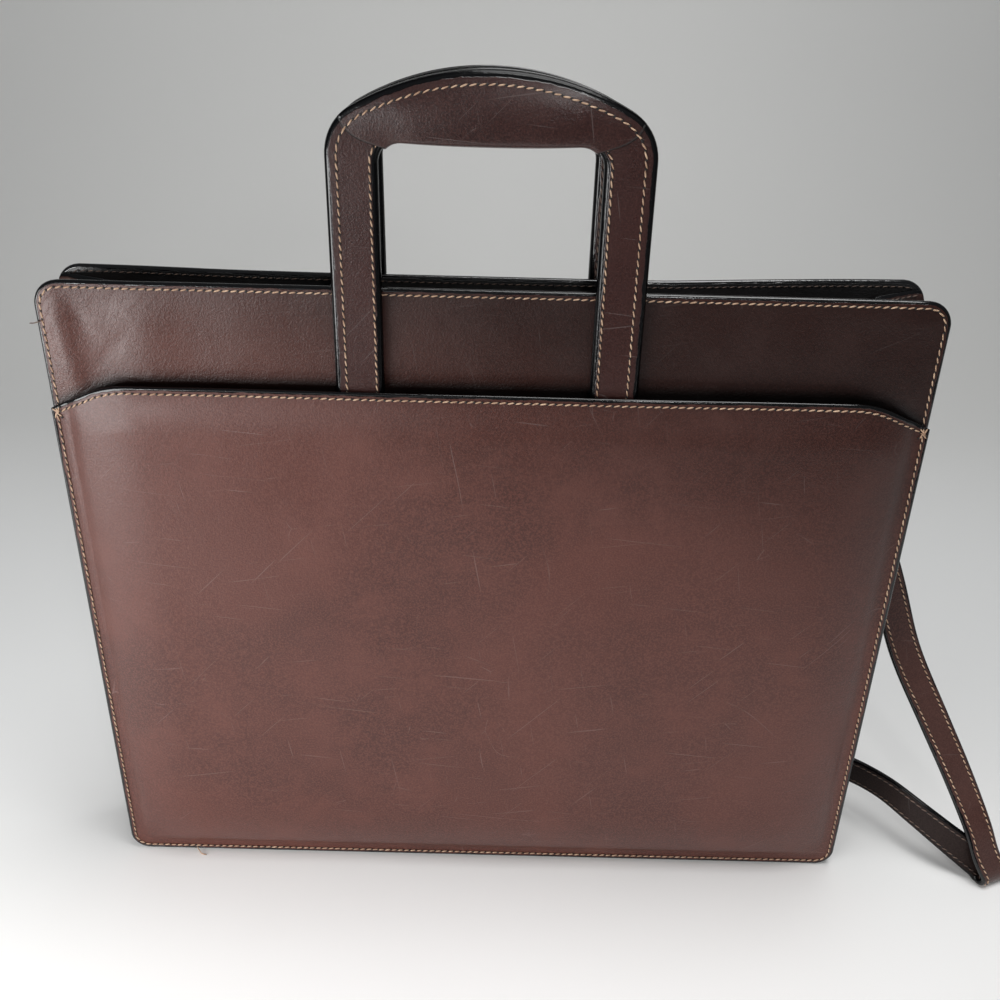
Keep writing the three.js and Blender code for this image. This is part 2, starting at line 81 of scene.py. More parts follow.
stitch_lift = 0.12
lining_stitch_length = 2.7
lining_stitch_thread = 0.5
lining_seam_bottom = 20.0


def smooth(share):
    t = np.clip(share, 0.0, 1.0)
    return t * t * (3 - 2 * t)


def lerp(a, b, share):
    return a + (b - a) * share


def hump(x, centre, reach):
    return np.exp(-(((x - centre) / reach) ** 2))


def unit(vector):
    vector = np.asarray(vector, dtype=float)
    return vector / np.linalg.norm(vector)


def edge_share(inset, bead):
    """Share of the full thickness at a distance in from an edge that is rounded over bead."""
    return np.sqrt(np.clip(1 - (1 - np.minimum(inset / bead, 1)) ** 2, 0, 1))


def stations(low, high, count):
    """Places from low to high, close together near both ends, with count even steps between."""
    reach = edge_steps[-1]
    middle = np.linspace(low + reach, high - reach, count + 1)[1:-1]
    start = [low + step for step in edge_steps]
    end = [high - step for step in reversed(edge_steps)]
    return np.concatenate([start, middle, end])


def add_object(name, data):
    made = bpy.data.objects.new(name, data)
    bpy.context.scene.collection.objects.link(made)
    return made


def mesh_object(name, points, faces, material, lining=None, lined=(), **attributes):
    """A closed piece from points in millimetres, with named numbers on its points.

    The lining, if any, is a second material for the lined faces.
    """
    mesh = bpy.data.meshes.new(name)
    mesh.from_pydata((np.asarray(points) * METRES).tolist(), [], [list(f) for f in faces])
    for key, values in attributes.items():
        layer = mesh.attributes.new(key, "FLOAT", "POINT")
        layer.data.foreach_set("value", np.asarray(values, dtype=np.float32))
    mesh.materials.append(material)
    if lining:
        mesh.materials.append(lining)
        mesh.polygons.foreach_set("material_index", [int(k in lined) for k in range(len(faces))])
    shell = bmesh.new()
    shell.from_mesh(mesh)
    bmesh.ops.remove_doubles(shell, verts=shell.verts, dist=2e-6)
    bmesh.ops.dissolve_degenerate(shell, edges=shell.edges, dist=1e-7)
    bmesh.ops.recalc_face_normals(shell, faces=shell.faces)
    shell.to_mesh(mesh)
    shell.free()
    mesh.polygons.foreach_set("use_smooth", [True] * len(mesh.polygons))
    return add_object(name, mesh)


def grid_faces(rows, columns, first=0):
    faces = []
    for i in range(rows - 1):
        for j in range(columns - 1):
            a = first + i * columns + j
            faces.append((a, a + 1, a + columns + 1, a + columns))
    return faces


def board(name, outline, near_face, far_face, material, bead=edge_bead, lining=None, lined_side=1):
    """A leather board between two faces y(x, z), with its edge rounded all the way round.

    The lining, if any, covers the far face, or the near one where lined_side is -1.
    """
    xs = stations(-half_width, half_width, int(2 * half_width / board_step))
    rows = int(wall_height / board_step)
    grid_x, grid_z = [], []
    for x in xs:
        zs = stations(outline["bottom"](x), outline["top"](x), rows)
        grid_x.append(np.full_like(zs, x))
        grid_z.append(zs)
    x, z = np.array(grid_x), np.array(grid_z)
    inset = np.maximum(outline["inset"](x, z), 0)
    rim = np.ones(inset.shape, bool)
    rim[1:-1, 1:-1] = False
    inset[rim] = 0
    near, far = near_face(x, z), far_face(x, z)
    middle, half = (near + far) / 2, (far - near) / 2 * edge_share(inset, bead)
    points = [np.stack([x, middle + side * half, z], axis=-1).reshape(-1, 3) for side in (-1, 1)]
    count = x.size
    front = grid_faces(*x.shape)
    back = [tuple(reversed(face)) for face in grid_faces(*x.shape, first=count)]
    values = np.tile(inset.ravel(), 2)
    # Painted shade from the outline, kept on the points for the leather to darken.
    cover = np.tile((outline["cover"](x, z) + 0 * x).ravel(), 2)
    lined = range(len(front), 2 * len(front)) if lined_side == 1 else range(len(front))
    return mesh_object(
        name, np.concatenate(points), front + back, material, lining, lined, inset=values, cover=cover
    )


def corner_rise(x, radius):
    """How far a rounded corner of the outline stands in from its straight edge at x."""
    past = np.maximum(np.abs(x) - (half_width - radius), 0)
    return radius - np.sqrt(np.maximum(radius**2 - past**2, 0))


def rounded_inset(x, z, low, high, radius_low, radius_high):
    """Distance in from a rectangle with rounded corners."""
    middle = (low + high) / 2
    radius = np.where(z > middle, radius_high, radius_low)
    past_x = np.abs(x) - (half_width - radius)
    past_z = np.where(z > middle, z - (high - radius), (low + radius) - z)
    in_corner = (past_x > 0) & (past_z > 0)
    return np.where(in_corner, radius - np.hypot(past_x, past_z), radius - np.maximum(past_x, past_z))


def pocket_top(x):
    """Height of the pocket's edge: level over the middle, turning down to both corners."""
    from_side = half_width - np.abs(x)
    past = np.clip(mouth_corner_run - from_side, 0, mouth_turn_run)
    turned = pocket_mouth_height - mouth_turn_radius + np.sqrt(mouth_turn_radius**2 - past**2)
    line_drop = (mouth_corner_drop - mouth_turn_drop) * (1 - np.minimum(from_side / mouth_line_run, 1))
    return turned - line_drop


def covered(x, z):
    """Painted shade on the wall where the pocket covers it, fading out above the mouth."""
    return 1 - smooth((z - pocket_top(x) + 1.0) / 7.0)


wall_outline = {
    "bottom": lambda x: corner_rise(x, wall_corner_bottom),
    "top": lambda x: wall_height - corner_rise(x, wall_corner_top),
    "inset": lambda x, z: rounded_inset(x, z, 0, wall_height, wall_corner_bottom, wall_corner_top),
    "cover": covered,
}


def front_wall_bow(x, z):
    """Soft waves and creases of the front wall's free top, most of them at its left end."""
    free = smooth((z - 268) / 22) * smooth((np.abs(x + 1.7) - 72) / 30)
    roll = 1.6 * hump(x + 0.12 * (z - 300), -189.5, 5.5)
    roll = roll + 1.3 * hump(x, -154, 14) + 0.3 * hump(x, -110, 14)
    roll = roll * (1 - 0.7 * smooth((z - 312) / 16))
    crease = 0.6 * hump(x + 0.5 * (z - 312), -181, 2.0) * hump(z, 313, 9)
    small = 0.35 * hump(x - 0.9 * (z - 300), -168, 3.0) * hump(z, 300, 9)
    small = small + 0.22 * hump(x + 1.3 * (z - 296), -152, 3.0) * hump(z, 296, 8)
    right_roll = 0.6 * hump(x, 186, 7) + 0.5 * hump(z + 0.08 * x, 336, 6) * hump(x, 175, 22)
    return -(roll - crease - small + right_roll) * free * smooth((half_width - np.abs(x)) / 5)


def front_wall_near(x, z):
    return wall_front + front_wall_bow(x, z)


def front_wall_far(x, z):
    return wall_back + front_wall_bow(x, z)


def add_node(tree, kind, inputs=None, **settings):
    """A node with its settings, and with each input set to a value or linked from a socket."""
    made = tree.nodes.new(kind)
    for key, value in settings.items():
        setattr(made, key, value)
    for key, value in (inputs or {}).items():
        socket = made.inputs[key]
        if isinstance(value, bpy.types.NodeSocket):
            tree.links.new(value, socket)
        else:
            socket.default_value = value
    return made


def new_material(name):
    """A material, its nodes, its shader and the piece's own coordinates."""
    material = bpy.data.materials.new(name)
    material.use_nodes = True
    tree = material.node_tree
    where = add_node(tree, "ShaderNodeTexCoord").outputs["Object"]
    return material, tree, tree.nodes["Principled BSDF"], where


def noise(tree, where, scale, detail=3.0, rough=0.5, distortion=0.0):
    return add_node(tree, "ShaderNodeTexNoise", {
        "Vector": where, "Scale": scale, "Detail": detail, "Roughness": rough, "Distortion": distortion,
    }).outputs["Fac"]


def ramp(tree, value, low, high, to_low=0.0, to_high=1.0):
    inputs = {"Value": value, "From Min": low, "From Max": high, "To Min": to_low, "To Max": to_high}
    return add_node(tree, "ShaderNodeMapRange", inputs, interpolation_type="SMOOTHSTEP").outputs["Result"]


def maths(tree, operation, a, b):
    return add_node(tree, "ShaderNodeMath", {0: a, 1: b}, operation=operation).outputs[0]


def blend(tree, share, a, b, kind="MIX"):
    inputs = {"Factor": share, 6: a, 7: b}
    return add_node(tree, "ShaderNodeMix", inputs, data_type="RGBA", blend_type=kind).outputs[2]


def between(tree, share, a, b):
    """A number between two others, by share."""
    return add_node(tree, "ShaderNodeMix", {"Factor": share, 2: a, 3: b}, data_type="FLOAT").outputs[0]


def moved(tree, where, offset):
    return add_node(tree, "ShaderNodeMapping", {"Vector": where, "Location": offset}).outputs[0]


def stretched(tree, where, turn, size):
    """Coordinates turned about the board's normal, then stretched, for marks that run one way."""
    inputs = {"Vector": where, "Rotation": (0, turn, 0), "Scale": size}
    return add_node(tree, "ShaderNodeMapping", inputs, vector_type="TEXTURE").outputs["Vector"]


def hairlines(tree, where, scale, width, patchiness, seed):
    """Sparse curved scratches: broken edges of large warped cells."""
    place = moved(tree, where, (seed, seed * 0.7, -seed))
    warp = add_node(tree, "ShaderNodeTexNoise", {"Vector": place, "Scale": scale * 0.8, "Detail": 1.0})
    bend = {0: warp.outputs["Color"], 1: (0.08, 0.08, 0.08)}
    bend = add_node(tree, "ShaderNodeVectorMath", bend, operation="MULTIPLY").outputs[0]
    bent = add_node(tree, "ShaderNodeVectorMath", {0: place, 1: bend}, operation="ADD").outputs[0]
    cells = {"Vector": bent, "Scale": scale}
    cells = add_node(tree, "ShaderNodeTexVoronoi", cells, feature="DISTANCE_TO_EDGE")
    line = ramp(tree, cells.outputs["Distance"], width * scale, width * scale * 0.2)
    broken = ramp(tree, noise(tree, place, scale * 1.7, 3.0, 0.7), patchiness, patchiness + 0.1)
    return maths(tree, "MULTIPLY", line, broken)


def straight_marks(tree, where, turn, seed, rarity):
    """Fine straight rubs that all run one way, a few centimetres long."""
    place = stretched(tree, moved(tree, where, (seed, -seed, seed * 1.3)), turn, (0.05, 0.05, 0.0010))
    return ramp(tree, noise(tree, place, 1.0, 1.0, 0.4, 0.5), rarity, rarity + 0.05)


def leather(
    name, deep, middle, pale, gloss=0.42, paint_width=1.5, scratched=0.5, painted_top_right_shade=0.0, creased=0.0, shine=0.7
):
    """Polished cowhide with fine grain, cloudy dye, scratches and a black painted edge.

    It can have painted shade towards the top and the right end, where the light falls
    off, and it can be creased at its left end.
    """
    material, tree, shader, where = new_material(name)
    inset = add_node(tree, "ShaderNodeAttribute", attribute_name="inset").outputs["Fac"]

    clouds = noise(tree, where, 6.5, 4.0, 0.55, 0.6)
    patches = noise(tree, where, 24.0, 5.0, 0.65)
    fine = noise(tree, where, 1150.0, 3.0, 0.7)
    pores = add_node(tree, "ShaderNodeTexVoronoi", {"Vector": where, "Scale": 1300.0})
    dye = blend(tree, ramp(tree, clouds, 0.38, 0.60), (*deep, 1), (*middle, 1))
    dye = blend(tree, ramp(tree, patches, 0.46, 0.74, 0.0, 0.6), dye, (*pale, 1))
    dye = blend(tree, ramp(tree, fine, 0.42, 0.62, 0.0, 0.75), dye, (*pale, 1))
    pore = pores.outputs["Distance"]
    dye = blend(tree, ramp(tree, pore, 0.0, 0.42, 0.35, 0.0), dye, (*deep, 1), "MULTIPLY")

    curved = hairlines(tree, where, 9.0, 0.00035, 0.56, 3.1)
    marks = maths(tree, "MAXIMUM", curved, hairlines(tree, where, 26.0, 0.00028, 0.60, 7.7))
    for turn, seed, rarity in ((0.1, 0.0, 0.745), (1.4, 4.1, 0.75), (-0.8, 9.3, 0.755), (-0.15, 2.2, 0.75)):
        marks = maths(tree, "MAXIMUM", marks, straight_marks(tree, where, turn, seed, rarity))
    marks = maths(tree, "MULTIPLY", marks, scratched)
    worn = tuple(c * 0.8 + 0.055 for c in pale)
    dye = blend(tree, marks, dye, (*worn, 1))

    # Painted shade: the dye goes darker towards the top and the right end, standing in for the light falling
    # off there.
    across, _, up = add_node(tree, "ShaderNodeSeparateXYZ", {0: where}).outputs
    reach = maths(tree, "ADD", maths(tree, "MULTIPLY", across, 0.4), up)
    top_right_shade_mask = ramp(tree, reach, 0.212, 0.335, 0.0, painted_top_right_shade)
    dye = blend(tree, top_right_shade_mask, dye, (0.0, 0.0, 0.0, 1))
    # Painted shade from the piece's attribute: on the walls under and just above the pockets' mouths. On the
    # grip it is a dark seam line at each end of the sleeve.
    cover = add_node(tree, "ShaderNodeAttribute", attribute_name="cover").outputs["Fac"]
    dye = blend(tree, maths(tree, "MULTIPLY", cover, 0.93), dye, (0.0, 0.0, 0.0, 1))
    near_edge = ramp(tree, inset, paint_width, paint_width + 1.6, 0.5, 0.0)
    dye = blend(tree, near_edge, dye, (*deep, 1))
    wobble = noise(tree, where, 130.0, 3.0, 0.6)
    border = maths(tree, "ADD", inset, ramp(tree, wobble, 0.2, 0.8, -0.45, 0.45))
    bare = ramp(tree, border, paint_width - 0.15, paint_width + 0.2)
    colour = blend(tree, bare, (0.002, 0.002, 0.0024, 1), dye)
    tree.links.new(colour, shader.inputs["Base Color"])

    polish = ramp(tree, patches, 0.2, 0.85, gloss - 0.05, gloss + 0.09)
    polish = maths(tree, "ADD", polish, maths(tree, "MULTIPLY", marks, 0.12))
    tree.links.new(between(tree, bare, 0.15, polish), shader.inputs["Roughness"])

    wrinkles = noise(tree, where, 700.0, 5.0, 0.72, 0.4)
    ripples = noise(tree, where, 60.0, 3.0, 0.5, 0.5)
    grain = maths(tree, "ADD", maths(tree, "MULTIPLY", pore, 0.5), wrinkles)
    grain = maths(tree, "ADD", grain, maths(tree, "MULTIPLY", ripples, 2.2))
    grain = maths(tree, "SUBTRACT", grain, maths(tree, "MULTIPLY", marks, 0.4))
    if creased:
        folds = noise(tree, stretched(tree, where, -0.9, (0.016, 0.016, 0.006)), 1.0, 4.0, 0.6, 1.2)
        from_line = maths(tree, "ABSOLUTE", maths(tree, "SUBTRACT", folds, 0.5), 0.0)
        fold_lines = ramp(tree, from_line, 0.0, 0.035, -creased, 0.0)
        at_left = ramp(tree, across, -0.120, -0.165)
        grain = maths(tree, "ADD", grain, maths(tree, "MULTIPLY", fold_lines, at_left))
    beads = noise(tree, where, 300.0, 2.0, 0.5)
    height = between(tree, bare, beads, grain)
    relief = add_node(tree, "ShaderNodeBump", {"Strength": 0.6, "Distance": 0.00022, "Height": height})
    tree.links.new(relief.outputs["Normal"], shader.inputs["Normal"])
    shader.inputs["Specular IOR Level"].default_value = shine
    shader.inputs["Coat Weight"].default_value = 0.3 * shine
    shader.inputs["Coat Roughness"].default_value = 0.2
    return material


def thread(name, colour, dark):
    """Waxed thread, dirty in patches and darker between its plies."""
    material, tree, shader, where = new_material(name)
    dirt = noise(tree, where, 240.0, 3.0, 0.6)
    plies = noise(tree, where, 1600.0, 2.0, 0.5)
    tone = blend(tree, ramp(tree, dirt, 0.35, 0.7), (*dark, 1), (*colour, 1))
    tone = blend(tree, ramp(tree, plies, 0.35, 0.65, 0.35, 0.0), tone, (*dark, 1))
    tree.links.new(tone, shader.inputs["Base Color"])
    relief = add_node(tree, "ShaderNodeBump", {"Strength": 0.5, "Distance": 0.0001, "Height": plies})
    tree.links.new(relief.outputs["Normal"], shader.inputs["Normal"])
    shader.inputs["Roughness"].default_value = 0.62
    return material


brown_leather = leather(
    "brown_leather", (0.054, 0.011, 0.006), (0.084, 0.020, 0.012), (0.126, 0.038, 0.026),
    scratched=0.7, painted_top_right_shade=0.5, shine=0.45,
)
# The front wall's copy of the same cowhide: a little darker, with more painted shade towards the top right,
# glossier, and creased at its left end.
front_wall_shaded_leather = leather(
    "front_wall_shaded_leather", (0.050, 0.011, 0.006), (0.080, 0.020, 0.012), (0.118, 0.037, 0.026),
    gloss=0.34, painted_top_right_shade=0.75, creased=0.4, shine=0.45,
)
black_lining = leather(
    "black_lining", (0.004, 0.004, 0.004), (0.007, 0.006, 0.006), (0.012, 0.010, 0.010), scratched=0.2
)
cream_thread = thread("cream_thread", (0.68, 0.48, 0.33), (0.36, 0.22, 0.14))
dull_thread = thread("dull_thread", (0.20, 0.135, 0.10), (0.08, 0.05, 0.04))
# Near black for the needle holes: painted shade inside them.
hole_shadow = thread("needle_hole_shade", (0.012, 0.007, 0.006), (0.006, 0.004, 0.004))


def stitch_tree():
    """Slanted stitches along a seam line, each dipping into the needle hole at its end."""
    tree = bpy.data.node_groups.new("slanted_stitches", "GeometryNodeTree")
    sockets = [("Seam", "Geometry")]
    sockets += [(name, "Float") for name in ("Pitch", "Length", "Thread", "Slant", "Hole")]
    sockets += [(name, "Material") for name in ("Thread Material", "Hole Material")]
    for name, kind in sockets:
        tree.interface.new_socket(name, in_out="INPUT", socket_type="NodeSocket" + kind)
    tree.interface.new_socket("Stitches", in_out="OUTPUT", socket_type="NodeSocketGeometry")
    source = tree.nodes.new("NodeGroupInput").outputs

    def step(kind, inputs=None, **settings):
        return add_node(tree, kind, inputs, **settings).outputs[0]

    def uneven(low, high, seed):
        inputs = {2: low, 3: high, "Seed": seed}
        return add_node(tree, "FunctionNodeRandomValue", inputs, data_type="FLOAT").outputs[1]

    def ball(rings, radius, *sizes):
        """A small faceted ball, stretched along its three axes."""
        shape = step("GeometryNodeMeshUVSphere", {"Segments": 6, "Rings": rings, "Radius": radius})
        size = step("ShaderNodeCombineXYZ", dict(enumerate(sizes)))
        return step("GeometryNodeTransform", {"Geometry": shape, "Scale": size})

    def repeated(points, shape, rotation, scale, material):
        """Copies of a shape on the points, made real, in their material."""
        inputs = {"Points": points, "Instance": shape, "Rotation": rotation, "Scale": scale}
        copies = step("GeometryNodeInstanceOnPoints", inputs)
        copies = step("GeometryNodeRealizeInstances", {"Geometry": copies})
        return step("GeometryNodeSetMaterial", {"Geometry": copies, "Material": material})

    line = step("GeometryNodeMeshToCurve", {"Mesh": source["Seam"]})
    spaced = step("GeometryNodeResampleCurve", {"Curve": line, "Length": source["Pitch"]}, mode="LENGTH")
    tangent = step("GeometryNodeInputTangent")
    outward = step("GeometryNodeInputNamedAttribute", {"Name": "outward"}, data_type="FLOAT_VECTOR")
    axes = {"Primary Axis": outward, "Secondary Axis": tangent}
    lie = step("FunctionNodeAxesToRotation", axes, primary_axis="Z", secondary_axis="X")
    angle = maths(tree, "ADD", source["Slant"], uneven(-0.07, 0.07, 11))
    turn = step("FunctionNodeAxisAngleToRotation", {"Axis": (0, 0, 1), "Angle": angle})
    slanted = step("FunctionNodeRotateRotation", {0: lie, 1: turn}, rotation_space="LOCAL")
    bead = ball(5, 0.5, source["Length"], source["Thread"], source["Thread"])
    sewn = repeated(spaced, bead, slanted, uneven(0.93, 1.07, 5), source["Thread Material"])

    half_pitch = maths(tree, "MULTIPLY", source["Pitch"], 0.5)
    along = step("ShaderNodeVectorMath", {0: tangent, "Scale": half_pitch}, operation="SCALE")
    gaps = step("GeometryNodeSetPosition", {"Geometry": spaced, "Offset": along})
    # A flat dark dot at each needle hole: painted shade inside the hole.
    dot = ball(3, 1.0, source["Hole"], source["Hole"], maths(tree, "MULTIPLY", source["Hole"], 0.15))
    pierced = repeated(gaps, dot, lie, (1, 1, 1), source["Hole Material"])
    both = tree.nodes.new("GeometryNodeJoinGeometry")
    tree.links.new(pierced, both.inputs[0])
    tree.links.new(sewn, both.inputs[0])
    rounded = step("GeometryNodeSetShadeSmooth", {"Geometry": both.outputs[0]})
    tree.links.new(rounded, tree.nodes.new("NodeGroupOutput").inputs["Stitches"])
    return tree


slanted_stitches = stitch_tree()


def sew(name, seams, length=stitch_length, thickness=stitch_thread, material=cream_thread):
    """Sews rows of stitches along seams: each is a list of points and outward directions."""
    points, edges, outward = [], [], []
    for seam in seams:
        first = len(points)
        points += [np.asarray(point) * METRES for point, _ in seam]
        outward += [direction for _, direction in seam]
        edges += [(first + k, first + k + 1) for k in range(len(seam) - 1)]
    mesh = bpy.data.meshes.new(name)
    mesh.from_pydata([tuple(p) for p in points], edges, [])
    layer = mesh.attributes.new("outward", "FLOAT_VECTOR", "POINT")
    layer.data.foreach_set("vector", np.asarray(outward, dtype=np.float32).ravel())
    guide = add_object(name + "_guide", mesh)
    modifier = guide.modifiers.new("stitches", "NODES")
    modifier.node_group = slanted_stitches
    sockets = {item.name: item.identifier for item in slanted_stitches.interface.items_tree}
    values = {
        "Pitch": stitch_pitch * METRES, "Length": length * METRES, "Thread": thickness * METRES,
        "Slant": stitch_slant, "Hole": needle_hole_shade * METRES,
        "Thread Material": material, "Hole Material": hole_shadow,
    }
    for key, value in values.items():
        modifier[sockets[key]] = value
    bpy.context.view_layer.update()
    ready = guide.evaluated_get(bpy.context.evaluated_depsgraph_get())
    sewn = bpy.data.meshes.new_from_object(ready)
    sewn.name = name
    bpy.data.objects.remove(guide)
    piece = add_object(name, sewn)
    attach(piece, "root")
    return piece


def face_direction(face, x, z, side):
    """Outward direction of a face y(x, z). side is -1 for the side that looks to the front."""
    step = 0.5
    slope_x = (face(x + step, z) - face(x - step, z)) / (2 * step)
    slope_z = (face(x, z + step) - face(x, z - step)) / (2 * step)
    return unit(np.array([-slope_x, 1.0, -slope_z]) * side)


def seam_on(face, side, path, lift=stitch_lift):
    """Lays a path of x and z on a board's face, a little proud of it."""
    seam = []
    for x, z in path:
        direction = face_direction(face, x, z, side)
        seam.append((np.array([x, float(face(x, z)), z]) + direction * lift, direction))
    return seam


def arc(centre_x, centre_z, radius, start, end, steps=8):
    angles = np.radians(np.linspace(start, end, steps + 1))
    return [(centre_x + radius * math.cos(a), centre_z + radius * math.sin(a)) for a in angles]


def straight(start, end, step=4.0):
    count = max(1, int(math.dist(start, end) / step))
    return [tuple(lerp(np.array(start), np.array(end), k / count)) for k in range(count + 1)]


def seam_round(inset, start, corner, centre_z, level, way):
    """Along the left side from height start, round two corners and back along the right side.

    The level run between the corners is over the sides where way is 1, and under them
    where it is -1.
    """
    side, turn, centre_x = half_width - inset, corner - inset, half_width - corner
    path = straight((-side, start), (-side, centre_z))
    path += arc(-centre_x, centre_z, turn, 180, 180 - way * 90)[1:]
    path += straight((-centre_x, level), (centre_x, level))[1:]
    path += arc(centre_x, centre_z, turn, way * 90, 0)[1:]
    return path + straight((side, centre_z), (side, start))[1:]


def wall_seam_path(inset, bottom):
    return seam_round(inset, bottom, wall_corner_top, wall_height - wall_corner_top, wall_height - inset, 1)


def dress(piece, slot, *nodes):
    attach(piece, "root")
    if nodes:
        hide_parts(*nodes)
    return piece


front_wall = board(
    "front_wall_leather", wall_outline, front_wall_near, front_wall_far, front_wall_shaded_leather, lining=black_lining
)
dress(front_wall, "brown_leather", "front_wall")
wall_seam = wall_seam_path(seam_inset, pocket_corner_height)
sew("front_wall_stitches", [seam_on(front_wall_near, -1, wall_seam)])
lining_seam_path = wall_seam_path(seam_inset, lining_seam_bottom)
sew(
    "front_lining_stitches", [seam_on(front_wall_far, 1, lining_seam_path)],
    lining_stitch_length, lining_stitch_thread, dull_thread,
)


# Back wall. The same two leathers as the front wall, with a black inner face. It
# leans in towards the handles, and its top edge waves between them and its ends.

gap_at_base = (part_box("back_wall")[1] / METRES).y - wall_thickness - wall_back
top_gap_across = (-1.0, -0.8, -0.6, -0.38, 0.38, 0.6, 0.8, 1.0)
top_gap_share = (0.77, 0.72, 0.62, 0.58, 0.58, 0.78, 0.93, 1.0)


def gap_between(x, z):
    """Clear gap between the two walls."""
    spread = 0.045
    across = np.asarray(x, dtype=float) / half_width
    share = sum(
        np.interp(across + shift * spread, top_gap_across, top_gap_share) for shift in (-1, -0.5, 0, 0.5, 1)
    ) / 5
    return lerp(gap_at_base, gap_at_base * share, z / wall_height)


def back_wall_inner(x, z):
    return wall_back + gap_between(x, z)


def back_wall_outer(x, z):
    return back_wall_inner(x, z) + wall_thickness


back_wall = board(
    "back_wall_leather", wall_outline, back_wall_inner, back_wall_outer, brown_leather,
    lining=black_lining, lined_side=-1,
)
dress(back_wall, "brown_leather", "back_wall")
sew("back_wall_stitches", [seam_on(back_wall_outer, 1, wall_seam)])
sew(
    "back_lining_stitches", [seam_on(back_wall_inner, -1, lining_seam_path)],
    lining_stitch_length, lining_stitch_thread, dull_thread,
)


# Gusset. One long strip of softer dark leather, sewn by its flanges to the inner
# faces of both walls down the left side, along the base and up the right side.
# It folds inwards between them, so the case can open.

gusset_thickness = 1.6
gusset_inset = 6.0
gusset_top_drop = 4.0
gusset_half_width = 28.0
gusset_corner = 9.0
gusset_base_fold = 3.0
gusset_full_fold_height = 147.0
gusset_edge_margin = 1.0
gusset_hem_inset = 2.6
gusset_step = 4.5
clearance = 0.3
gusset_line = half_width - gusset_inset

gusset_leather = leather(
    "gusset_leather", (0.022, 0.009, 0.007), (0.032, 0.013, 0.010), (0.060, 0.026, 0.020),
    scratched=0.2, shine=0.3,
)


def loft(name, sections, material, lining=None, lined=(), **attributes):
    """Joins closed sections of equal length into one body with flat ends.

    The lining covers the strips that start at the lined points of each section.
    """
    sections = np.asarray(sections)
    rows, count = sections.shape[:2]
    faces = []
    for i in range(rows - 1):
        for k in range(count):
            a, b = i * count + k, i * count + (k + 1) % count
            faces.append((a, b, b + count, a + count))
    faces.append(tuple(reversed(range(count))))
    faces.append(tuple(range((rows - 1) * count, rows * count)))
    covered_faces = {i * count + k for i in range(rows - 1) for k in lined}
    return mesh_object(name, sections.reshape(-1, 3), faces, material, lining, covered_faces, **attributes)


def rounded_line(corners, radius, steps=5):
    """A line through corners, each of them rounded by a short curve."""
    corners = [np.asarray(c, dtype=float) for c in corners]
    line = [corners[0]]
    for before, corner, after in zip(corners, corners[1:], corners[2:]):
        reach_in = min(radius, 0.45 * np.linalg.norm(corner - before))
        reach_out = min(radius, 0.45 * np.linalg.norm(after - corner))
        start = corner + (before - corner) / max(np.linalg.norm(before - corner), 1e-9) * reach_in
        end = corner + (after - corner) / max(np.linalg.norm(after - corner), 1e-9) * reach_out
        for share in np.linspace(0, 1, steps):
            line.append(lerp(lerp(start, corner, share), lerp(corner, end, share), share))
    line.append(corners[-1])
    return np.array(line)


def unit_rows(vectors):
    return vectors / np.linalg.norm(vectors, axis=1)[:, None]


def sideways(line):
    """Directions square to a flat line, one at each of its points."""
    along = np.gradient(line, axis=0)
    return unit_rows(np.stack([-along[:, 1], along[:, 0]], axis=1))


def thickened(line, thickness):
    """Both sides of a thin strip that is seen end on, as one closed loop."""
    half = sideways(line) * thickness / 2
    return np.concatenate([line + half, (line - half)[::-1]])


def gusset_fold_depth(x, z):
    half_gap = gap_between(x, z) / 2 - clearance - gusset_thickness / 2
    opened = math.sqrt(max(gusset_half_width**2 - half_gap**2, gusset_base_fold**2))
    start = gusset_inset + gusset_corner
    return lerp(gusset_base_fold, opened, float(smooth((z - start) / (gusset_full_fold_height - start))))


def gusset_stations():
    """Places down the left side, round the corners, along the base and up the right side."""
    bend = gusset_inset + gusset_corner
    centre_x = gusset_line - gusset_corner
    right = [(gusset_line, z, -1.0, 0.0) for z in np.linspace(wall_height - gusset_top_drop, bend, 70)]
    for turn in np.radians(np.linspace(0, 90, 10))[1:]:
        x = centre_x + gusset_corner * math.cos(turn)
        z = bend - gusset_corner * math.sin(turn)
        right.append((x, z, -math.cos(turn), math.sin(turn)))
    base = [(x, gusset_inset, 0.0, 1.0) for x in np.linspace(-centre_x, centre_x, 40)[1:-1]]
    left = [(-x, z, -in_x, in_z) for x, z, in_x, in_z in right]
    return left + base + right[::-1]


def gusset_fold(x, z):
    """The folded strip's middle line, level with z: how far in from its own line, and y."""
    into_corner = max(z - (wall_height - wall_corner_top), 0)
    cut_back = wall_corner_top - math.sqrt(wall_corner_top**2 - into_corner**2)
    flange = gusset_inset - gusset_edge_margin - cut_back
    front = wall_back + clearance + gusset_thickness / 2
    back = float(back_wall_inner(x, z)) - clearance - gusset_thickness / 2
    depth = gusset_fold_depth(x, z) + 0.5 * math.sin(z * 0.11 + x) * float(smooth((z - 90) / 60))
    middle = (front + back) / 2
    corners = [(-flange, front), (0.5, front), (depth, middle), (0.5, back), (-flange, back)]
    return rounded_line(corners, 4.0, 7)


def gusset_section(x, z, in_x, in_z):
    loop = thickened(gusset_fold(x, z), gusset_thickness)
    return np.stack([x + in_x * loop[:, 0], loop[:, 1], z + in_z * loop[:, 0]], axis=1)


def gusset_hem(side, face):
    """A row of stitches along the gusset's top edge, at one end of the case and on one face."""
    x, z = side * gusset_line, wall_height - gusset_top_drop - gusset_hem_inset
    line = gusset_fold(x, z)
    line = line[line[:, 0] > 0.8]
    across = sideways(line)
    on_face = line + across * face * (gusset_thickness / 2 + stitch_lift)
    places = np.stack([x - side * on_face[:, 0], on_face[:, 1], np.full(len(line), z)], axis=1)
    outward = np.stack([-side * across[:, 0], across[:, 1], np.zeros(len(line))], axis=1) * face
    return list(zip(places, outward))


